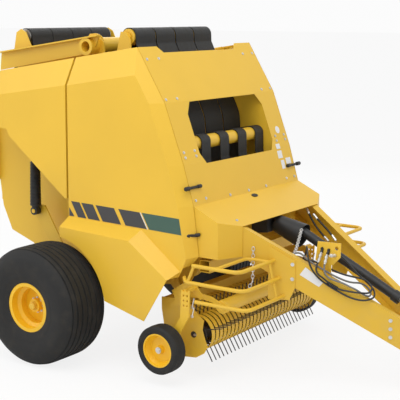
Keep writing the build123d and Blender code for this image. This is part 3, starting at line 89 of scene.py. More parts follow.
def place(x, y, z):
    """A point measured from the axle, as a point of the whole machine."""
    return Vector((AXLE_X + x, y, z))


# Shader graphs


class Signal:
    """A shader socket that takes part in ordinary arithmetic."""

    def __init__(self, graph, socket):
        self.graph = graph
        self.socket = socket

    def maths(self, operation, first, second):
        return self.graph.add("ShaderNodeMath", {"operation": operation}, {0: first, 1: second})

    def __add__(self, other):
        return self.maths("ADD", self, other)

    def __radd__(self, other):
        return self.maths("ADD", other, self)

    def __rsub__(self, other):
        return self.maths("SUBTRACT", other, self)

    def __mul__(self, other):
        return self.maths("MULTIPLY", self, other)

    def wave(self):
        """The sine of the signal."""
        return self.graph.add("ShaderNodeMath", {"operation": "SINE"}, {0: self})

    def ramp(self, low, high):
        """0 below low, 1 above high, straight between."""
        values = {"Value": self, "From Min": low, "From Max": high}
        return self.graph.add("ShaderNodeMapRange", {"clamp": True}, values)


class Graph:
    """The node tree of one material, or of the world."""

    def __init__(self, owner):
        self.owner = owner
        owner.use_nodes = True
        self.tree = owner.node_tree
        self.tree.nodes.clear()

    def add(self, kind, settings, values, output=0):
        """A node of that kind: its settings first, then the values or links of its sockets."""
        node = self.tree.nodes.new(kind)
        for key, value in settings.items():
            setattr(node, key, value)
        for key, value in values.items():
            if isinstance(value, Signal):
                self.tree.links.new(value.socket, node.inputs[key])
            else:
                node.inputs[key].default_value = value
        return Signal(self, node.outputs[output]) if node.outputs else None

    def here(self):
        """The point in hand, in the object's own coordinates."""
        return self.add("ShaderNodeTexCoord", {}, {}, "Object")

    def noise(self, scale, detail=3.0, stretch=(1, 1, 1)):
        """Noise of so many cells a metre, drawn out along an axis by a stretch under 1."""
        mapped = self.add("ShaderNodeMapping", {}, {"Vector": self.here(), "Scale": stretch})
        return self.add("ShaderNodeTexNoise", {}, {"Vector": mapped, "Scale": scale, "Detail": detail}, "Fac")

    def axis(self, index):
        """One coordinate of the point in hand."""
        return self.add("ShaderNodeSeparateXYZ", {}, {0: self.here()}, index)

    def mix(self, amount, first, second):
        """Two colours mixed by an amount; a colour mix has them on its seventh and eighth sockets."""
        return self.add("ShaderNodeMix", {"data_type": "RGBA"}, {0: amount, 6: first, 7: second}, 2)

    def finish(self, colour, roughness, metallic=0.0, height=None, depth=0.001, coat=0.0):
        """The surface, with its bumps as a height of so many metres."""
        values = {"Base Color": colour, "Roughness": roughness, "Metallic": metallic, "Coat Weight": coat}
        values["Coat Roughness"] = 0.12
        if height is not None:
            bump = {"Height": height, "Distance": depth, "Strength": 1.0}
            values["Normal"] = self.add("ShaderNodeBump", {}, bump)
        surface = self.add("ShaderNodeBsdfPrincipled", {}, values)
        self.add("ShaderNodeOutputMaterial", {}, {"Surface": surface})
        return self.owner


def material_graph(name):
    return Graph(bpy.data.materials.new(name))


def shade(colour, share):
    """The colour made darker or lighter by a share."""
    return (*[min(1.0, c * share) for c in colour[:3]], 1.0)


def painted_sheet(name, colour, gloss=0.40, dust=0.10):
    """Sprayed enamel: faint cloudiness, orange peel and a little dust low down."""
    graph = material_graph(name)
    cloud = graph.noise(1.3, 4.0)
    fleck = graph.noise(46.0, 2.0)
    low = 1.0 - graph.axis(2).ramp(0.15, 1.3)
    dusty = (low * graph.noise(7.0, 5.0).ramp(0.42, 0.75)) * dust
    body = graph.mix(cloud.ramp(0.3, 0.7), shade(colour, 0.96), shade(colour, 1.03))
    body = graph.mix(dusty, body, (0.42, 0.33, 0.20, 1))
    peel = graph.noise(520.0, 1.0)
    return graph.finish(body, gloss + fleck * 0.10 + dusty * 0.8, height=peel, depth=0.00006, coat=0.06)


def tyre_rubber(name, colour, hub, tread):
    """Tyre rubber: dull, dusty in patches, with fine rings on the sidewall inside the tread's radius."""
    graph = material_graph(name)
    reach = graph.add("ShaderNodeVectorMath", {"operation": "SUBTRACT"}, {0: graph.here(), 1: hub}, "Vector")
    flat = graph.add("ShaderNodeVectorMath", {"operation": "MULTIPLY"}, {0: reach, 1: (1, 0, 1)}, "Vector")
    radius = graph.add("ShaderNodeVectorMath", {"operation": "LENGTH"}, {0: flat}, "Value")
    rings = (radius * 900.0).wave() * (1.0 - radius.ramp(0.62 * tread, 0.80 * tread))
    dust = graph.noise(9.0, 6.0).ramp(0.50, 0.85)
    body = graph.mix(dust * 0.22, shade(colour, 0.9), (0.12, 0.105, 0.085, 1))
    grain = graph.noise(240.0, 3.0)
    return graph.finish(body, 0.74 + dust * 0.18, height=grain + rings * 0.25, depth=0.0006)


def belt_rubber(name, colour):
    """Woven belt: black rubber with a fine cross rib and pale crop dust in streaks along it."""
    graph = material_graph(name)
    ribs = (graph.axis(2) * 1500.0).wave() + (graph.axis(1) * 1500.0).wave()
    streaks = graph.noise(12.0, 4.0, (0.4, 3.0, 0.4)).ramp(0.5, 0.85)
    body = graph.mix(streaks * 0.30, colour, (0.085, 0.075, 0.055, 1))
    return graph.finish(body, 0.55 + streaks * 0.25, height=ribs, depth=0.00025)


def worn_steel(name, colour, rough=0.34):
    """Bare steel: bright, with fine turned lines and darker patches."""
    graph = material_graph(name)
    patches = graph.noise(14.0, 5.0)
    lines = graph.noise(160.0, 2.0, (1.0, 0.06, 1.0))
    body = graph.mix(patches.ramp(0.35, 0.75), shade(colour, 0.75), colour)
    return graph.finish(body, rough + lines * 0.15, 0.9, height=lines, depth=0.0001)


def moulded(name, colour, rough=0.5):
    """Moulded plastic or rubber with a fine grain."""
    graph = material_graph(name)
    grain = graph.noise(380.0, 2.0)
    wear = graph.noise(16.0, 4.0).ramp(0.45, 0.8)
    body = graph.mix(wear * 0.35, colour, shade(colour, 1.7))
    return graph.finish(body, rough + wear * 0.15, height=grain, depth=0.00012)


def film(name, colour):
    """A stuck-on film: even, half gloss, barely cloudy."""
    graph = material_graph(name)
    cloud = graph.noise(5.0, 3.0)
    body = graph.mix(cloud, shade(colour, 0.94), shade(colour, 1.05))
    return graph.finish(body, 0.34 + cloud * 0.08)


class BalerColours(bpy.types.PropertyGroup):
    """Colours of the finishes."""

    yellow: bpy.props.FloatVectorProperty(
        name="Body yellow", description="Enamel of the sheets and frames", subtype="COLOR", size=4,
        default=(0.790, 0.485, 0.032, 1.0), min=0, max=1,
    )
    rubber: bpy.props.FloatVectorProperty(
        name="Tyre rubber", description="Tyres", subtype="COLOR", size=4,
        default=(0.0085, 0.0083, 0.008, 1.0), min=0, max=1,
    )
    belt: bpy.props.FloatVectorProperty(
        name="Belt rubber", description="Belts", subtype="COLOR", size=4,
        default=(0.011, 0.011, 0.010, 1.0), min=0, max=1,
    )
    black: bpy.props.FloatVectorProperty(
        name="Black plastic", description="Shaft guards, latches and hoses", subtype="COLOR", size=4,
        default=(0.012, 0.012, 0.012, 1.0), min=0, max=1,
    )
    steel: bpy.props.FloatVectorProperty(
        name="Bare steel", description="Rollers, shafts and fittings", subtype="COLOR", size=4,
        default=(0.50, 0.49, 0.47, 1.0), min=0, max=1,
    )
    stripe: bpy.props.FloatVectorProperty(
        name="Stripe grey", description="Slanted blocks of the stripe", subtype="COLOR", size=4,
        default=(0.045, 0.045, 0.048, 1.0), min=0, max=1,
    )
    patch: bpy.props.FloatVectorProperty(
        name="Patch green", description="Plain patch at the stripe's front end", subtype="COLOR", size=4,
        default=(0.045, 0.105, 0.078, 1.0), min=0, max=1,
    )
    label: bpy.props.FloatVectorProperty(
        name="Plate white", description="Blank plates", subtype="COLOR", size=4,
        default=(0.78, 0.78, 0.77, 1.0), min=0, max=1,
    )


class BalerSizes(bpy.types.PropertyGroup):
    """Sizes of the fittings."""

    bolt_head: bpy.props.FloatProperty(
        name="Bolt head", description="Across the corners of a panel bolt", default=0.022, unit="LENGTH",
    )
    film: bpy.props.FloatProperty(
        name="Film", description="Thickness of stripes and plates", default=0.0012, unit="LENGTH",
    )
    groove: bpy.props.FloatProperty(
        name="Groove", description="Depth of the tyre's grooves", default=0.011, unit="LENGTH",
    )
    chain_wire: bpy.props.FloatProperty(
        name="Chain wire", description="Wire of a chain link", default=0.006, unit="LENGTH",
    )


def colours():
    return bpy.context.scene.baler_colours


def sizes():
    return bpy.context.scene.baler_sizes


finishes = {}


def finish_of(key):
    """One of the finishes that the paint operator made."""
    return finishes[key]


# Modelling by hand


def deselect():
    """Nothing selected, object mode."""
    if bpy.context.object and bpy.context.object.mode != "OBJECT":
        bpy.ops.object.mode_set(mode="OBJECT")
    bpy.ops.object.select_all(action="DESELECT")


def named(name, finish):
    """The object in hand gets its name and its finish."""
    piece = bpy.context.object
    piece.name = name
    piece.data.name = name
    piece.data.materials.clear()
    piece.data.materials.append(finish)
    return piece


def settle(piece):
    """The piece's place goes into its mesh, so that its object sits at the origin."""
    deselect()
    piece.select_set(True)
    bpy.context.view_layer.objects.active = piece
    bpy.ops.object.transform_apply(location=True, rotation=True, scale=True)
    return piece


def modify(piece, kind, **settings):
    """Adds a modifier and applies it."""
    deselect()
    piece.select_set(True)
    bpy.context.view_layer.objects.active = piece
    modifier = piece.modifiers.new(kind.title(), kind)
    for key, value in settings.items():
        setattr(modifier, key, value)
    bpy.ops.object.modifier_apply(modifier=modifier.name)
    return piece


def joined(name, parts):
    """Several pieces made one."""
    deselect()
    for part in parts:
        part.select_set(True)
    bpy.context.view_layer.objects.active = parts[0]
    bpy.ops.object.join()
    piece = bpy.context.object
    piece.name = name
    piece.data.name = name
    return piece


def turned_to(direction):
    """The turn that takes +Z to a direction."""
    return Vector(direction).to_track_quat("Z", "Y").to_euler()


def drum(at, direction, radius, length, finish, corners=24, bevel=0.0):
    """A short bar that starts at a point and runs in a direction."""
    deselect()
    centre = Vector(at) + Vector(direction).normalized() * length / 2
    bpy.ops.mesh.primitive_cylinder_add(
        vertices=corners, radius=radius, depth=length, location=centre, rotation=turned_to(direction)
    )
    piece = settle(named("drum", finish))
    if bevel:
        modify(piece, "BEVEL", width=bevel, segments=2, limit_method="ANGLE")
    return piece


def block(at, size, finish, bevel=0.004, turn=(0, 0, 0)):
    """A block with softened edges."""
    deselect()
    bpy.ops.mesh.primitive_cube_add(size=1, location=at, rotation=turn)
    bpy.context.object.scale = size
    piece = settle(named("block", finish))
    modify(piece, "BEVEL", width=bevel, segments=2, limit_method="ANGLE")
    return piece


def plate(corners, thickness, finish):
    """A flat plate with its corners given in turn, raised on both sides of them."""
    deselect()
    bpy.ops.mesh.primitive_circle_add(vertices=len(corners), radius=1, fill_type="NGON")
    piece = named("plate", finish)
    for vertex, corner in zip(piece.data.vertices, corners):
        vertex.co = corner
    modify(piece, "SOLIDIFY", thickness=thickness, offset=0.0)
    return piece


def lathe(profile, hub, finish, steps=96, axis=(0, 1, 0)):
    """A ring turned round a hub: the profile's points are (along the axis, radius)."""
    deselect()
    along = Vector(axis).normalized()
    out = Vector((0, 0, 1)) if abs(along.z) < 0.9 else Vector((1, 0, 0))
    out = (out - along * out.dot(along)).normalized()
    hub = Vector(hub)
    points = [hub + along * a + out * r for a, r in profile]
    bpy.ops.mesh.primitive_plane_add(size=0.01, location=points[0])
    piece = settle(named("lathe", finish))
    bpy.ops.object.mode_set(mode="EDIT")
    bpy.ops.mesh.select_all(action="SELECT")
    bpy.ops.mesh.merge(type="CENTER")
    for start, stop in zip(points, points[1:]):
        bpy.ops.mesh.extrude_region_move(TRANSFORM_OT_translate={"value": stop - start})
    bpy.ops.mesh.select_all(action="SELECT")
    bpy.ops.mesh.spin(steps=steps, angle=math.tau, center=hub, axis=along)
    bpy.ops.mesh.select_all(action="SELECT")
    bpy.ops.mesh.remove_doubles(threshold=0.00005)
    bpy.ops.mesh.normals_make_consistent(inside=False)
    bpy.ops.object.mode_set(mode="OBJECT")
    deselect()
    piece.select_set(True)
    bpy.context.view_layer.objects.active = piece
    bpy.ops.object.shade_smooth_by_angle(angle=math.radians(32))
    return piece


def copied(pattern, at, direction, roll=0.0):
    """A copy of a pattern that was modelled upright at the origin, with its own mesh."""
    deselect()
    pattern.select_set(True)
    bpy.context.view_layer.objects.active = pattern
    bpy.ops.object.duplicate(linked=False)
    piece = bpy.context.object
    turn = Vector(direction).to_track_quat("Z", "Y").to_matrix().to_4x4()
    piece.matrix_world = Matrix.Translation(Vector(at)) @ turn @ Matrix.Rotation(roll, 4, "Z")
    return settle(piece)


def placed(name, pattern, places):
    """Copies of a pattern at (point, direction) places, joined; the pattern itself goes."""
    copies = [copied(pattern, at, direction) for at, direction in places]
    bpy.data.objects.remove(pattern)
    return joined(name, copies)


def hex_head(across, finish):
    """A bolt head on its washer, upright at the origin."""
    washer = drum((0, 0, 0), (0, 0, 1), across * 0.72, across * 0.14, finish, 16)
    head = drum((0, 0, across * 0.14), (0, 0, 1), across * 0.5, across * 0.34, finish, 6, across * 0.03)
    return joined("bolt", [washer, head])


def bolt_set(name, places, body, across=None):
    """Bolt heads at (point, direction) places, in one piece on a body."""
    across = across or sizes().bolt_head
    return fitted(placed(name, hex_head(across, finish_of("zinc")), places), body)


def fitted(piece, body):
    """The piece rides on a body."""
    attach(piece, body)
    return piece


def panel_spot(y, z, lift=0.0):
    """A point on the front panel's outer face and its outward direction."""
    for (x0, z0), (x1, z1) in zip(PANEL_FOLDS, PANEL_FOLDS[1:]):
        if z1 <= z <= z0:
            share = (z0 - z) / (z0 - z1)
            out = Vector((z0 - z1, 0, x1 - x0)).normalized()
            return place(x0 + (x1 - x0) * share, y, z) + out * lift, out
    raise ValueError(f"no panel at height {z}")


def beam_top(x):
    """The point of the left-hand beam's outer top edge at a distance from the axle."""
    return BEAM_REAR.lerp(BEAM_FRONT, (x - BEAM_REAR.x) / (BEAM_FRONT.x - BEAM_REAR.x))


def beam_spot(x, drop, sign, lift=0.0):
    """A point on a tongue beam's outer face, so far below its top, and its outward direction."""
    top = beam_top(x)
    run = BEAM_FRONT - BEAM_REAR
    out = Vector((-run.y, run.x, 0)).normalized()
    out = Vector((out.x, sign * out.y, 0))
    return place(top.x, sign * top.y, top.z - drop) + out * lift, out


# Operators


class BALER_OT_paint(bpy.types.Operator):
    """Makes the finishes and gives every piece of the frame its own"""

    bl_idname = "baler.paint"
    bl_label = "Paint the frame"

    def execute(self, context):
        tint = colours()
        yellow = tuple(tint.yellow)
        finishes.update(
            yellow=painted_sheet("yellow enamel", yellow),
            frame=painted_sheet("yellow enamel, frames", shade(yellow, 0.94), 0.42, 0.22),
            # Rims: the body enamel made brighter and more orange, without dust; the added brightness is painted
            # light that makes up for the shade under the fenders.
            rim=painted_sheet("yellow enamel, rims, brightened for shade", (0.86, 0.50, 0.013, 1), 0.38, 0.0),
            black=moulded("black plastic", tuple(tint.black), 0.46),
            hose=moulded("hose rubber", shade(tuple(tint.black), 1.4), 0.42),
            # One hose gets a plain grey finish, even all over.
            braid=moulded("plain grey hose", (0.17, 0.17, 0.165, 1), 0.36),
            belt=belt_rubber("belt rubber", tuple(tint.belt)),
            steel=worn_steel("bare steel", tuple(tint.steel)),
            zinc=worn_steel("zinc plate", (0.80, 0.80, 0.79, 1), 0.30),
            chrome=worn_steel("ground rod", (0.78, 0.78, 0.77, 1), 0.12),
            tine=worn_steel("spring steel", (0.115, 0.108, 0.100, 1), 0.44),
            iron=moulded("black casting", (0.020, 0.020, 0.020, 1), 0.62),
            stripe=film("stripe grey", tuple(tint.stripe)),
            patch=film("patch green", tuple(tint.patch)),
            label=film("plate white", tuple(tint.label)),
        )
        plain = {
            "front_belts": "belt", "tailgate_belts": "belt", "tailgate_rollers": "steel",
            "fixed_rollers": "yellow", "reel": "tine", "gearbox": "iron",
            "jack_leg": "zinc", "jack_tube": "black",
            "pto_cone": "black", "pto_guard": "black", "pto_yoke": "frame", "pto_shaft": "steel",
        }
        for hand, _ in SIDES:
            plain.update({f"main_rim_{hand}": "rim", f"gauge_rim_{hand}": "rim"})
            plain.update({f"cylinder_rod_{hand}": "chrome", f"cylinder_barrel_{hand}": "black"})
        framework = ("axle", "tongue_beams", "hitch", "guard_rails", "cross_tubes", "pickup_frame")
        framework += ("arch_plates",)
        for name, node in nodes.items():
            key = plain.get(name, "frame" if name in framework else "yellow")
            for slot in node.material_slots:
                slot.material = finishes[key]
        for hand, _ in SIDES:
            for kind, reach in (("main", MAIN_RADIUS), ("gauge", GAUGE_RADIUS)):
                low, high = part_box(f"{kind}_tyre_{hand}")
                hub = tuple((Vector(low) + Vector(high)) / 2)
                key = f"{kind}_{hand}"
                finishes[key] = tyre_rubber(f"{kind} tyre rubber {hand}", tuple(tint.rubber), hub, reach)
                for slot in nodes[f"{kind}_tyre_{hand}"].material_slots:
                    slot.material = finishes[key]
        return {"FINISHED"}


# The crown is flat as far as this from the middle, and drops this much by its edge, ever faster
CROWN_FLAT = 0.068
CROWN_EDGE = MAIN_HALF - 0.012
CROWN_DROP = 0.080
CROWN_POWER = 5.6
# Grooves round the main tyre: how far from its middle, and half of their width
MAIN_GROOVES = [(0.030, 0.010), (0.098, 0.010), (0.160, 0.009), (0.208, 0.007)]
GROOVE_LEAN = 0.004
# The shoulder's points across the tyre, then the wall down to the bead and in: across, radius
MAIN_SHOULDER = (0.228, 0.245, 0.258)
MAIN_WALL = [
    (0.270, 0.452), (0.273, 0.420), (0.273, 0.380), (0.268, 0.335), (0.262, 0.318), (0.263, 0.312),
    (0.252, 0.280), (0.240, 0.252), (0.236, 0.236), (0.228, 0.229), (0.214, 0.214), (0.199, 0.205),
]


def crown(across):
    """The main tyre's radius at a distance from its middle, without its grooves."""
    share = max(0.0, (abs(across) - CROWN_FLAT) / (CROWN_EDGE - CROWN_FLAT))
    return MAIN_RADIUS - CROWN_DROP * share**CROWN_POWER


class BALER_OT_tyres(bpy.types.Operator):
    """Turns the main tyres with the ribs round their tread"""

    bl_idname = "baler.tyres"
    bl_label = "Turn the tyres"

    def execute(self, context):
        tread = [(0.0, crown(0))]
        for middle, half in MAIN_GROOVES:
            floor = crown(middle) - sizes().groove
            tread += [(middle - half, crown(middle - half)), (middle - half + GROOVE_LEAN, floor)]
            tread += [(middle + half - GROOVE_LEAN, floor), (middle + half, crown(middle + half))]
        half_profile = tread + [(across, crown(across)) for across in MAIN_SHOULDER] + MAIN_WALL
        profile = [(-a, r) for a, r in half_profile[:0:-1]] + half_profile
        profile.append(profile[0])
        for hand, sign in SIDES:
            hub = place(0, sign * TRACK_HALF, MAIN_RADIUS)
            tyre = lathe(profile, hub, finish_of(f"main_{hand}"), 128)
            tyre.name = f"ribbed_tyre_{hand}"
            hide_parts(f"main_tyre_{hand}")
            fitted(tyre, f"main_wheel_{hand}")
        return {"FINISHED"}


# Nuts of a main wheel: how many, the radius of their circle, and a nut's size
WHEEL_NUTS = 8
NUT_CIRCLE = 0.062
WHEEL_NUT = 0.022
# The hub cap: how far it starts out of the disc, and its profile
CAP_LIFT = 0.044
HUB_CAP = [(0, 0.034), (0.030, 0.034), (0.038, 0.028), (0.040, 0.0005)]
# The gauge wheel's nut: how far it stands out of the wheel's middle, and its size
GAUGE_NUT_REACH = 0.043
GAUGE_NUT = 0.040


class BALER_OT_wheel_fittings(bpy.types.Operator):
    """Adds the wheel nuts, the hub caps and the gauge wheels' nuts"""

    bl_idname = "baler.wheel_fittings"
    bl_label = "Fit the wheel nuts"

    def execute(self, context):
        for hand, sign in SIDES:
            out = Vector((0, sign, 0))
            face = sign * DISC_FACE
            places = []
            for i in range(WHEEL_NUTS):
                turn = math.tau * i / WHEEL_NUTS
                at = place(NUT_CIRCLE * math.cos(turn), face, MAIN_RADIUS + NUT_CIRCLE * math.sin(turn))
                places.append((at, out))
            bolt_set(f"wheel_nuts_{hand}", places, f"main_wheel_{hand}", WHEEL_NUT)
            cap_foot = place(0, face + sign * CAP_LIFT, MAIN_RADIUS)
            cap = lathe(HUB_CAP, cap_foot, finish_of("frame"), 32, (0, sign, 0))
            cap.name = f"hub_cap_{hand}"
            fitted(cap, f"main_wheel_{hand}")
            x, y, z = GAUGE_HUB
            nut = place(x, sign * (y + GAUGE_NUT_REACH), z)
            bolt_set(f"gauge_nut_{hand}", [(nut, out)], f"gauge_wheel_{hand}", GAUGE_NUT)
        return {"FINISHED"}


# The stripe on the side shields: blocks from and to along its top edge, and the lean of their ends
STRIPE_BLOCKS = [(0.126, 0.226), (0.249, 0.385), (0.418, 0.630), (0.680, 0.917)]
STRIPE_TOP = 1.466
STRIPE_FALL = 0.0247
STRIPE_DEPTH = 0.140
STRIPE_LEAN = 0.080
WHITE_LINE = (0.921, 0.930)
GREEN_PATCH = (0.942, 1.342)
PATCH_LEAN = 0.026
# The cut-off block at the shield's rear edge: x and height of its corners
STRIPE_END = [(0.102, 1.405), (0.162, 1.328), (0.100, 1.327)]


def stripe_corners(start, stop, sign, lift, stop_lean=STRIPE_LEAN):
    """The corners of one slanted block on the shield's outer face."""
    y = sign * (SHIELD_Y + lift)
    top = [STRIPE_TOP - STRIPE_FALL * (x - STRIPE_BLOCKS[0][0]) for x in (start, stop)]
    bottom = [z - STRIPE_DEPTH for z in top]
    return [
        place(start, y, top[0]),
        place(stop, y, top[1]),
        place(stop + stop_lean, y, bottom[1]),
        place(start + STRIPE_LEAN, y, bottom[0]),
    ]


class BALER_OT_stripes(bpy.types.Operator):
    """Lays the slanted stripe, its white line and its plain patch on both shields"""

    bl_idname = "baler.stripes"
    bl_label = "Lay the stripes"

    def execute(self, context):
        thick = sizes().film
        for hand, sign in SIDES:
            body = f"shield_{hand}"
            y = sign * (SHIELD_Y + thick)
            parts = [plate([place(x, y, z) for x, z in STRIPE_END], thick, finish_of("stripe"))]
            for start, stop in STRIPE_BLOCKS:
                parts.append(plate(stripe_corners(start, stop, sign, thick), thick, finish_of("stripe")))
            blocks = joined(f"stripe_blocks_{hand}", parts)
            line = plate(stripe_corners(*WHITE_LINE, sign, thick), thick, finish_of("label"))
            line.name = f"stripe_line_{hand}"
            corners = stripe_corners(*GREEN_PATCH, sign, thick, PATCH_LEAN)
            patch = plate(corners, thick, finish_of("patch"))
            patch.name = f"stripe_patch_{hand}"
            for piece in (blocks, line, patch):
                fitted(piece, body)
        return {"FINISHED"}


# Blank plates on the front panel: middle y and z, width and height
PANEL_PLATES = [(0.672, 1.882, 0.070, 0.050), (0.673, 1.805, 0.080, 0.075), (0.799, 1.734, 0.090, 0.060),
                (0.690, 1.709, 0.060, 0.085)]
# The round plate's middle y and z, and its radius
PANEL_DISC = (0.751, 2.032, 0.036)
# Corners of the plate on the right-hand tongue beam: x and height
TONGUE_PLATE = [(2.240, 0.974), (2.286, 1.043), (2.438, 0.926), (2.398, 0.879)]


class BALER_OT_plates(bpy.types.Operator):
    """Sticks the blank plates on the front panel and on the tongue"""

    bl_idname = "baler.plates"
    bl_label = "Stick the blank plates"

    def execute(self, context):
        thick = sizes().film
        parts = []
        for y, z, width, height in PANEL_PLATES:
            centre, out = panel_spot(y, z, thick)
            up = Vector((-out.z, 0, out.x))
            right = Vector((0, 1, 0))
            corners = [centre + right * width / 2 * a + up * height / 2 * b
                       for a, b in ((-1, -1), (1, -1), (1, 1), (-1, 1))]
            parts.append(plate(corners, thick, finish_of("label")))
        y, z, radius = PANEL_DISC
        centre, out = panel_spot(y, z, thick)
        disc = drum(centre - out * thick / 2, out, radius, thick, finish_of("label"), 32)
        piece = joined("panel_plates", parts + [disc])
        fitted(piece, "frame")
        corners = [beam_spot(x, beam_top(x).z - z, -1, thick)[0] for x, z in TONGUE_PLATE]
        tongue = plate(corners, thick, finish_of("label"))
        tongue.name = "tongue_plate"
        fitted(tongue, "frame")
        return {"FINISHED"}


# Bolts of the front panel: distance from the middle, and height
PANEL_BOLTS = [(0.845, 2.755), (0.677, 2.755), (0.855, 2.420), (0.695, 2.420), (0.838, 1.979), (0.838, 1.935),
               (0.678, 1.980), (0.677, 1.935), (0.842, 1.578), (0.690, 1.577)]
# Bolts along the panel's foot: y, and their height
PANEL_FOOT_BOLTS = [-0.317, -0.006, 0.298]
PANEL_FOOT = 1.555
# Bolts of a tongue beam: x, and drop below its top; the rear ones stand on the guard rails' gusset
GUSSET_BOLTS = [(2.182, 0.070), (2.182, 0.198)]
GUSSET_SHEET = 0.0105
FRONT_BOLTS = [(2.976, 0.065), (2.978, 0.137), (2.980, 0.208)]
# One bolt on the hood's slanted corner, and one on each end shield of the pickup
HOOD_BOLT = (1.692, -0.638, 1.404)
HOOD_CORNER_OUT = Vector((0.86, -0.51, 0.0))
PICKUP_BOLT = (1.470, 0.943, 0.418)
# Sizes of the heads
PANEL_HEAD = 0.019
TONGUE_HEAD = 0.023
HOOD_HEAD = 0.020


class BALER_OT_bolts(bpy.types.Operator):
    """Sets the bolts of the front panel, the tongue, the hood and the pickup"""

    bl_idname = "baler.bolts"
    bl_label = "Set the bolts"

    def execute(self, context):
        places = [panel_spot(sign * y, z) for y, z in PANEL_BOLTS for sign in (1, -1)]
        places += [panel_spot(y, PANEL_FOOT) for y in PANEL_FOOT_BOLTS]
        bolt_set("panel_bolts", places, "frame", PANEL_HEAD)
        places = [beam_spot(x, drop, sign, GUSSET_SHEET) for x, drop in GUSSET_BOLTS for sign in (1, -1)]
        places += [beam_spot(x, drop, sign) for x, drop in FRONT_BOLTS for sign in (1, -1)]
        bolt_set("tongue_bolts", places, "frame", TONGUE_HEAD)
        hood_spot = place(*HOOD_BOLT) + HOOD_CORNER_OUT * 0.001
        bolt_set("hood_bolt", [(hood_spot, HOOD_CORNER_OUT)], "frame", HOOD_HEAD)
        for hand, sign in SIDES:
            x, y, z = PICKUP_BOLT
            spot = (place(x, sign * y, z), Vector((0, sign, 0)))
            bolt_set(f"pickup_bolts_{hand}", [spot], "pickup")
        return {"FINISHED"}


# The oval grommet on the hood's slope: its ring's profile, its stretch, its place and the way it faces
GROMMET = [(0.0, 0.030), (0.004, 0.030), (0.007, 0.025), (0.005, 0.019), (0.005, 0.0005)]
GROMMET_STRETCH = (1.5, 0.8, 1.0)
GROMMET_PLACE = (1.470, 0.005, 1.5105)
GROMMET_OUT = (0.43, 0, 0.903)
# The clip on the right-hand beam: x, and drop below its top
TONGUE_CLIP = (2.500, 0.052)
# Pins beside a gauge wheel's arm: x and y, and their heights
ARM_PIN = (1.519, 1.053)
ARM_PIN_HEIGHTS = (0.700, 0.620)
# Rigid lines along the inside of the left-hand beam
LINE_THICK = 0.020
FAR_LINES = [
    [(1.704, 0.572, 1.328), (1.775, 0.548, 1.226), (1.875, 0.514, 1.137), (1.992, 0.474, 1.067)],
    [(1.803, 0.538, 1.280), (1.852, 0.521, 1.246), (2.017, 0.465, 1.148), (2.084, 0.442, 1.091)],
]


class BALER_OT_trims(bpy.types.Operator):
    """Adds the hood's cable grommet, the tongue's clip and lines, and the pins of the pickup's arms"""

    bl_idname = "baler.trims"
    bl_label = "Add the trims"

    def execute(self, context):
        black = finish_of("black")
        zinc = finish_of("zinc")
        grommet = lathe(GROMMET, (0, 0, 0), black, 40, (0, 0, 1))
        grommet.scale = GROMMET_STRETCH
        settle(grommet)
        seated = copied(grommet, place(*GROMMET_PLACE), GROMMET_OUT)
        seated.name = "cable_grommet"
        fitted(seated, "frame")
        bpy.data.objects.remove(grommet)
        body, out = beam_spot(*TONGUE_CLIP, -1, 0.004)
        along = (BEAM_FRONT - BEAM_REAR).normalized()
        along = Vector((along.x, -along.y, along.z))
        base = drum(body - along * 0.045, along, 0.013, 0.105, black, 16, 0.004)
        pin = drum(body - along * 0.020 + out * 0.010, along, 0.008, 0.060, zinc, 16, 0.002)
        clip = joined("tongue_clip", [base, pin])
        fitted(clip, "frame")
        for number, route in enumerate(FAR_LINES):
            points = [place(*spot) for spot in route]
            line = hose(f"far_line_{number}", points, black, LINE_THICK)
            deselect()
            line.select_set(True)
            context.view_layer.objects.active = line
            bpy.ops.object.convert(target="MESH")
            line = context.object
            ends = []
            for end, inner in ((points[0], points[1]), (points[-1], points[-2])):
                way = (inner - end).normalized()
                ends.append(drum(end - way * 0.012, way, 0.0135, 0.070, zinc, 6, 0.002))
            fitted(joined(f"far_line_{number}", [line] + ends), "frame")
        x, y = ARM_PIN
        for hand, sign in SIDES:
            pins = []
            for z in ARM_PIN_HEIGHTS:
                pins.append(drum(place(x, sign * y, z), (0, sign, 0), 0.015, 0.010, zinc, 20, 0.003))
                shank = place(x, sign * (y + 0.005), z)
                pins.append(drum(shank, (0.25, 0, 1), 0.0055, 0.085, zinc, 12, 0.001))
            fitted(joined(f"arm_pins_{hand}", pins), "pickup")
        return {"FINISHED"}


# Rubber latches over a shield's seams: the upper one on the front panel, its y and height; the lower one on the
# shell's slanted corner, its place, its way forward on the left side and its turn
UPPER_LATCH = (0.86, 1.686)
LOWER_LATCH = (1.425, SHELL_Y + 0.036, 1.290)
LOWER_FORWARD = (0.82, -0.50, 0.12)
LOWER_TURN = -0.548


class BALER_OT_latches(bpy.types.Operator):
    """Hooks the rubber latches over the seams of the shields"""

    bl_idname = "baler.latches"
    bl_label = "Hook the latches"

    def execute(self, context):
        black = finish_of("black")
        for hand, sign in SIDES:
            y, z = UPPER_LATCH
            spot, out = panel_spot(sign * y, z, 0.012)
            slope = Vector((0, sign, 0))
            grip = drum(spot + slope * 0.050 + out * 0.004, slope, 0.019, 0.060, black, 20, 0.006)
            strap = block(spot - slope * 0.035, (0.020, 0.170, 0.024), black, 0.006)
            nub = drum(spot - slope * 0.125 + out * 0.002, slope, 0.017, 0.050, black, 20, 0.006)
            upper = joined(f"latch_upper_{hand}", [grip, strap, nub])
            x, y, z = LOWER_LATCH
            low = place(x, sign * y, z)
            x, y, z = LOWER_FORWARD
            forward = Vector((x, sign * y, z)).normalized()
            grip = drum(low - forward * 0.075, forward, 0.018, 0.060, black, 20, 0.006)
            strap = block(low, (0.120, 0.014, 0.024), black, 0.005, (0, 0, sign * LOWER_TURN))
            nub = drum(low + forward * 0.030, forward, 0.015, 0.045, black, 20, 0.006)
            lower = joined(f"latch_lower_{hand}", [grip, strap, nub])
            for piece in (upper, lower):
                fitted(piece, "frame")
        return {"FINISHED"}


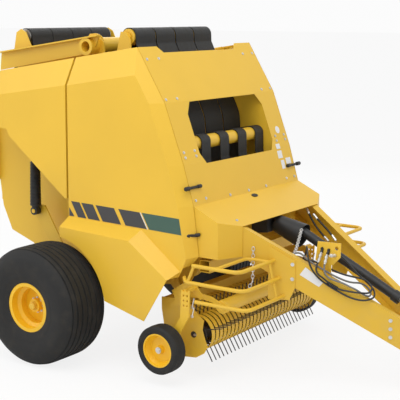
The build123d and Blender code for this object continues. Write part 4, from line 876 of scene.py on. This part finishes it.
# The spare chain's hook on the right-hand beam, x and drop below its top, and its hanging points from there
CHAIN_HOOK = (1.86, 0.115)
CHAIN_FALL = [(0.0, 0.0, 0.0), (0.004, -0.012, -0.30), (-0.03, -0.02, -0.36)]
# The guard chain from the cone to the right-hand beam
GUARD_CHAIN = [(2.028, -0.100, 1.275), (2.105, -0.320, 1.158), (2.166, -0.497, 1.108)]
GUARD_PITCH = 0.022


def chain_link(wire):
    """One link, upright at the origin: long along Z, flat across Y."""
    deselect()
    bpy.ops.mesh.primitive_torus_add(
        major_radius=0.0125, minor_radius=wire / 2, major_segments=16, minor_segments=6,
        rotation=(math.pi / 2, 0, 0),
    )
    link = named("link", finish_of("zinc"))
    link.scale = (1.0, 1.55, 1.0)
    bpy.ops.object.shade_smooth()
    return settle(link)


def chain(name, route, body, pitch=0.030):
    """Links along a hanging route, each a quarter turn from the last."""
    link = chain_link(sizes().chain_wire)
    links = []
    lengths = [(b - a).length for a, b in zip(route, route[1:])]
    for i in range(int(sum(lengths) / pitch)):
        distance = (i + 0.5) * pitch
        for (a, b), span in zip(zip(route, route[1:]), lengths):
            if distance <= span:
                break
            distance -= span
        along = (b - a) / span
        links.append(copied(link, a + along * distance, along, math.pi / 2 * (i % 2)))
    bpy.data.objects.remove(link)
    return fitted(joined(name, links), body)


class BALER_OT_chains(bpy.types.Operator):
    """Hangs the hitch chain's spare length and the guard chain of the shaft"""

    bl_idname = "baler.chains"
    bl_label = "Hang the chains"

    def execute(self, context):
        hook = beam_spot(*CHAIN_HOOK, -1, 0.020)[0]
        chain("hitch_chain", [hook + Vector(fall) for fall in CHAIN_FALL], "frame")
        chain("guard_chain", [place(*spot) for spot in GUARD_CHAIN], "frame", GUARD_PITCH)
        return {"FINISHED"}


# Hoses stowed over the right-hand tongue beam. Each route's points lie beside that beam: distance from the
# axle, depth in from its outer face, and height above its top. Each hose starts inside the beam.
HOSE_THICK = 0.016
HOSE_ROUTES = {
    "hose_black_long": [
        (2.02, 0.036, -0.13), (2.08, 0.046, -0.13), (2.15, 0.085, -0.12), (2.20, 0.125, -0.06),
        (2.22, 0.145, 0.02), (2.24, 0.11, 0.10), (2.275, 0.04, 0.13), (2.315, -0.03, 0.09),
        (2.35, -0.05, 0.01), (2.41, -0.03, -0.05), (2.49, -0.022, -0.065), (2.57, -0.022, -0.065),
        (2.645, -0.025, -0.06), (2.72, -0.04, -0.035), (2.79, -0.04, 0.0), (2.835, 0.025, 0.04),
        (2.80, 0.10, 0.06), (2.77, 0.13, 0.065), (2.72, 0.16, 0.07), (2.65, 0.155, 0.09),
        (2.59, 0.15, 0.13), (2.545, 0.13, 0.17), (2.515, 0.10, 0.195), (2.505, 0.06, 0.195),
    ],
    "hose_grey": [
        (1.96, 0.036, -0.085), (2.02, 0.046, -0.085), (2.08, 0.105, -0.07), (2.13, 0.125, -0.03),
        (2.18, 0.11, 0.01), (2.23, 0.075, 0.025), (2.29, 0.04, 0.022), (2.36, 0.04, 0.018),
        (2.44, 0.032, 0.02), (2.52, 0.045, 0.017), (2.61, 0.085, 0.017), (2.67, 0.175, 0.035),
        (2.745, 0.16, 0.02), (2.785, 0.07, 0.01), (2.77, 0.0, 0.02), (2.705, -0.01, 0.035),
        (2.65, -0.005, 0.025), (2.595, -0.01, 0.025), (2.535, -0.03, 0.015), (2.49, -0.02, 0.003),
        (2.45, -0.012, 0.012), (2.43, 0.007, 0.047), (2.43, 0.02, 0.08),
    ],
    "hose_black_short": [
        (2.06, 0.036, -0.05), (2.12, 0.046, -0.05), (2.19, 0.09, -0.04), (2.26, 0.125, -0.01),
        (2.34, 0.14, 0.01), (2.43, 0.115, 0.022), (2.53, 0.105, 0.04), (2.62, 0.11, 0.07),
        (2.70, 0.135, 0.095), (2.755, 0.13, 0.085), (2.79, 0.085, 0.07), (2.79, 0.02, 0.05),
        (2.745, -0.033, 0.038), (2.69, -0.033, 0.01), (2.625, -0.028, -0.02), (2.56, -0.022, -0.045),
        (2.505, -0.032, -0.042), (2.46, -0.045, -0.015), (2.395, -0.04, -0.012), (2.36, 0.02, 0.023),
        (2.368, 0.042, 0.054),
    ],
}
# Sockets on the hose plate: the foot that a coupler plugs into, and the hole behind it
HOSE_SOCKETS = {
    "hose_grey": ((2.434, -0.374, 1.158), (2.440, -0.353, 1.190)),
    "hose_black_short": ((2.377, -0.372, 1.168), (2.377, -0.353, 1.195)),
}
SOCKET_RADIUS = 0.0125
# Seats that carry the hoses' inner ends on the beam: x, and drop below its top
HOSE_SEATS = ((1.925, 0.130), (1.865, 0.085), (1.965, 0.050))
SEAT_SIZE = (0.040, 0.060, 0.036)


def beside_beam(x, inward, above):
    """A point beside the right-hand beam."""
    top = beam_top(x)
    return place(x, -(top.y - inward), top.z + above)


def hose(name, points, finish, thick=HOSE_THICK):
    """A hose along a smooth line drawn by its points."""
    line = bpy.data.curves.new(name, "CURVE")
    line.dimensions = "3D"
    line.bevel_depth = thick / 2
    line.bevel_resolution = 3
    line.resolution_u = 6
    spline = line.splines.new("NURBS")
    spline.points.add(len(points) - 1)
    for knot, point in zip(spline.points, points):
        knot.co = (*point, 1.0)
    spline.order_u = 3
    spline.use_endpoint_u = True
    piece = bpy.data.objects.new(name, line)
    bpy.context.scene.collection.objects.link(piece)
    line.materials.append(finish)
    return piece


# A coupler's profile: along it, radius
COUPLER = [
    (0.000, 0.0005), (0.000, 0.010), (0.014, 0.010), (0.015, 0.0145), (0.030, 0.0145), (0.031, 0.011),
    (0.050, 0.011), (0.051, 0.0155), (0.072, 0.0155), (0.074, 0.009), (0.090, 0.009), (0.090, 0.0005),
]


class BALER_OT_hoses(bpy.types.Operator):
    """Stows the hoses over the tongue and plugs their couplers into the hose plate"""

    bl_idname = "baler.hoses"
    bl_label = "Stow the hoses"

    def execute(self, context):
        coupler = lathe(COUPLER, (0, 0, 0), finish_of("zinc"), 24, (0, 0, 1))
        black = finish_of("black")
        for name, route in HOSE_ROUTES.items():
            points = [beside_beam(*spot) for spot in route]
            piece = hose(name, points, finish_of("braid" if name == "hose_grey" else "hose"))
            fitted(piece, "frame")
            last_way = points[-1] - points[-2]
            if name in HOSE_SOCKETS:
                foot, hole = [place(*spot) for spot in HOSE_SOCKETS[name]]
                last_way = foot - points[-1]
                rise = hole - foot
                start = foot - last_way * 0.05
                bend = drum(start, rise, SOCKET_RADIUS, rise.length + 0.006, black, 20, 0.003)
                back = hole - Vector((0, 0.016, 0))
                through = drum(back, (0, 1, 0), SOCKET_RADIUS, 0.060, black, 20, 0.002)
                socket = joined(f"{name}_socket", [bend, through])
                fitted(socket, "frame")
            first = copied(coupler, points[0], points[0] - points[1])
            last = copied(coupler, points[-1], last_way)
            first.name = f"{name}_foot"
            last.name = f"{name}_coupler"
            fitted(first, "frame")
            fitted(last, "frame")
        bpy.data.objects.remove(coupler)
        for number, (x, drop) in enumerate(HOSE_SEATS):
            seat = block(beside_beam(x, 0.040, -drop), SEAT_SIZE, finish_of("frame"))
            seat.name = f"hose_seat_{number}"
            fitted(seat, "frame")
        return {"FINISHED"}


# The tailgate cylinder on the left: its lower and upper pins
CYLINDER_FOOT = Vector((-0.470, 0.845, 1.290))
CYLINDER_HEAD = Vector((-0.440, 0.845, 2.420))
# The boot over it: folds, where they start, their pitch, and the radius of its ends and of its folds
BOOT_FOLDS = 30
BOOT_START = 0.050
FOLD_PITCH = 0.014
BOOT_END = 0.0385
BOOT_RADIUS = 0.0435
FOLD_RISE = 0.006


class BALER_OT_boots(bpy.types.Operator):
    """Fits the folded rubber boots over the tailgate cylinders"""

    bl_idname = "baler.boots"
    bl_label = "Fit the cylinder boots"

    def execute(self, context):
        along = (CYLINDER_HEAD - CYLINDER_FOOT).normalized()
        profile = [(0.048, BOOT_END)]
        for i in range(BOOT_FOLDS):
            distance = BOOT_START + i * FOLD_PITCH
            swell = BOOT_RADIUS + FOLD_RISE * (1 - i / BOOT_FOLDS)
            profile += [(distance, swell), (distance + FOLD_PITCH / 2, swell + FOLD_RISE)]
        profile.append((0.480, BOOT_END))
        for hand, sign in SIDES:
            start = place(CYLINDER_FOOT.x, sign * CYLINDER_FOOT.y, CYLINDER_FOOT.z)
            boot = lathe(profile, start, finish_of("black"), 40, along)
            boot.name = f"cylinder_boot_{hand}"
            fitted(boot, f"barrel_{hand}")
        return {"FINISHED"}


class BALER_OT_camera(bpy.types.Operator):
    """Sets up the camera at the photograph's angle"""

    bl_idname = "baler.camera"
    bl_label = "Set up the camera"

    def execute(self, context):
        camera = bpy.data.objects.new("camera", bpy.data.cameras.new("camera"))
        camera.data.sensor_width = SENSOR_MM
        camera.data.lens = LENS_MM
        camera.data.shift_x = SHIFT_X
        camera.data.shift_y = SHIFT_Y
        camera.data.clip_end = 400
        camera.location = CAMERA_PLACE
        camera.rotation_euler = [math.radians(a) for a in (90 + CAMERA_PITCH, CAMERA_ROLL, CAMERA_HEADING)]
        context.scene.collection.objects.link(camera)
        context.scene.camera = camera
        return {"FINISHED"}


# Lamps: place, power in watts, and width
LAMPS = {
    "key lamp": ((2.0, -4.5, 9.5), 410, 7.0),
    "side lamp": ((-7.0, -7.0, 6.0), 150, 6.0),
    "far lamp": ((-6.0, 8.0, 6.0), 150, 6.0),
}
LAMP_TARGET = Vector((0, 0, 1.2))
# How bright the world lights, how bright the camera and reflections see it, and the floor's share of glow
WORLD_LIGHT = 0.76
WORLD_SHOWN = 0.97
FLOOR_GLOW = 0.84


class BALER_OT_stage(bpy.types.Operator):
    """Lays the pale floor and hangs the lamps"""

    bl_idname = "baler.stage"
    bl_label = "Set the stage"

    def execute(self, context):
        scene = context.scene
        deselect()
        bpy.ops.mesh.primitive_grid_add(x_subdivisions=4, y_subdivisions=4, size=300, location=(0, 0, -0.001))
        floor = context.object
        floor.name = "floor"
        graph = material_graph("pale floor")
        shown = graph.add("ShaderNodeLightPath", {}, {}, "Is Camera Ray")
        pale = graph.add("ShaderNodeBsdfDiffuse", {}, {"Color": (0.86, 0.86, 0.86, 1)})
        glow = graph.add("ShaderNodeEmission", {}, {"Color": (1, 1, 1, 1), "Strength": 1.0})
        mixed = graph.add("ShaderNodeMixShader", {}, {0: shown * FLOOR_GLOW, 1: pale, 2: glow})
        graph.add("ShaderNodeOutputMaterial", {}, {"Surface": mixed})
        floor.data.materials.append(graph.owner)

        scene.world = bpy.data.worlds.new("studio")
        graph = Graph(scene.world)
        seen = graph.add("ShaderNodeLightPath", {}, {}, "Is Camera Ray")
        mirrored = graph.add("ShaderNodeLightPath", {}, {}, "Is Glossy Ray")
        level = seen.maths("MAXIMUM", seen, mirrored) * (WORLD_SHOWN - WORLD_LIGHT) + WORLD_LIGHT
        sky = graph.add("ShaderNodeBackground", {}, {"Color": (1, 1, 1, 1), "Strength": level})
        graph.add("ShaderNodeOutputWorld", {}, {"Surface": sky})

        for name, (spot, power, reach) in LAMPS.items():
            lamp = bpy.data.objects.new(name, bpy.data.lights.new(name, "AREA"))
            lamp.data.energy = power
            lamp.data.size = reach
            lamp.location = spot
            lamp.rotation_euler = (LAMP_TARGET - Vector(spot)).to_track_quat("-Z", "Y").to_euler()
            scene.collection.objects.link(lamp)
        scene.view_settings.view_transform = "Standard"
        return {"FINISHED"}


OPERATORS = (
    BALER_OT_camera, BALER_OT_paint, BALER_OT_hoses, BALER_OT_tyres, BALER_OT_wheel_fittings,
    BALER_OT_stripes, BALER_OT_plates, BALER_OT_bolts, BALER_OT_trims, BALER_OT_latches, BALER_OT_chains,
    BALER_OT_boots, BALER_OT_stage,
)


class BALER_PT_looks(bpy.types.Panel):
    """Lists the steps that dress the baler"""

    bl_label = "Baler"
    bl_idname = "BALER_PT_looks"
    bl_space_type = "VIEW_3D"
    bl_region_type = "UI"
    bl_category = "Baler"

    def draw(self, context):
        for group in (context.scene.baler_colours, context.scene.baler_sizes):
            for key in group.bl_rna.properties.keys():
                if key not in ("rna_type", "name"):
                    self.layout.prop(group, key)
        for operator in OPERATORS:
            self.layout.operator(operator.bl_idname)


CLASSES = (BalerColours, BalerSizes, *OPERATORS, BALER_PT_looks)


def register():
    for cls in CLASSES:
        bpy.utils.register_class(cls)
    bpy.types.Scene.baler_colours = bpy.props.PointerProperty(type=BalerColours)
    bpy.types.Scene.baler_sizes = bpy.props.PointerProperty(type=BalerSizes)


def unregister():
    del bpy.types.Scene.baler_sizes
    del bpy.types.Scene.baler_colours
    for cls in reversed(CLASSES):
        bpy.utils.unregister_class(cls)


def main():
    """Dresses the frame, step by step."""
    register()
    bpy.ops.baler.camera()
    bpy.ops.baler.paint()
    bpy.ops.baler.hoses()
    bpy.ops.baler.tyres()
    bpy.ops.baler.wheel_fittings()
    bpy.ops.baler.stripes()
    bpy.ops.baler.plates()
    bpy.ops.baler.bolts()
    bpy.ops.baler.trims()
    bpy.ops.baler.latches()
    bpy.ops.baler.chains()
    bpy.ops.baler.boots()
    bpy.ops.baler.stage()
    bpy.context.view_layer.update()


if __name__ == "__main__":
    main()
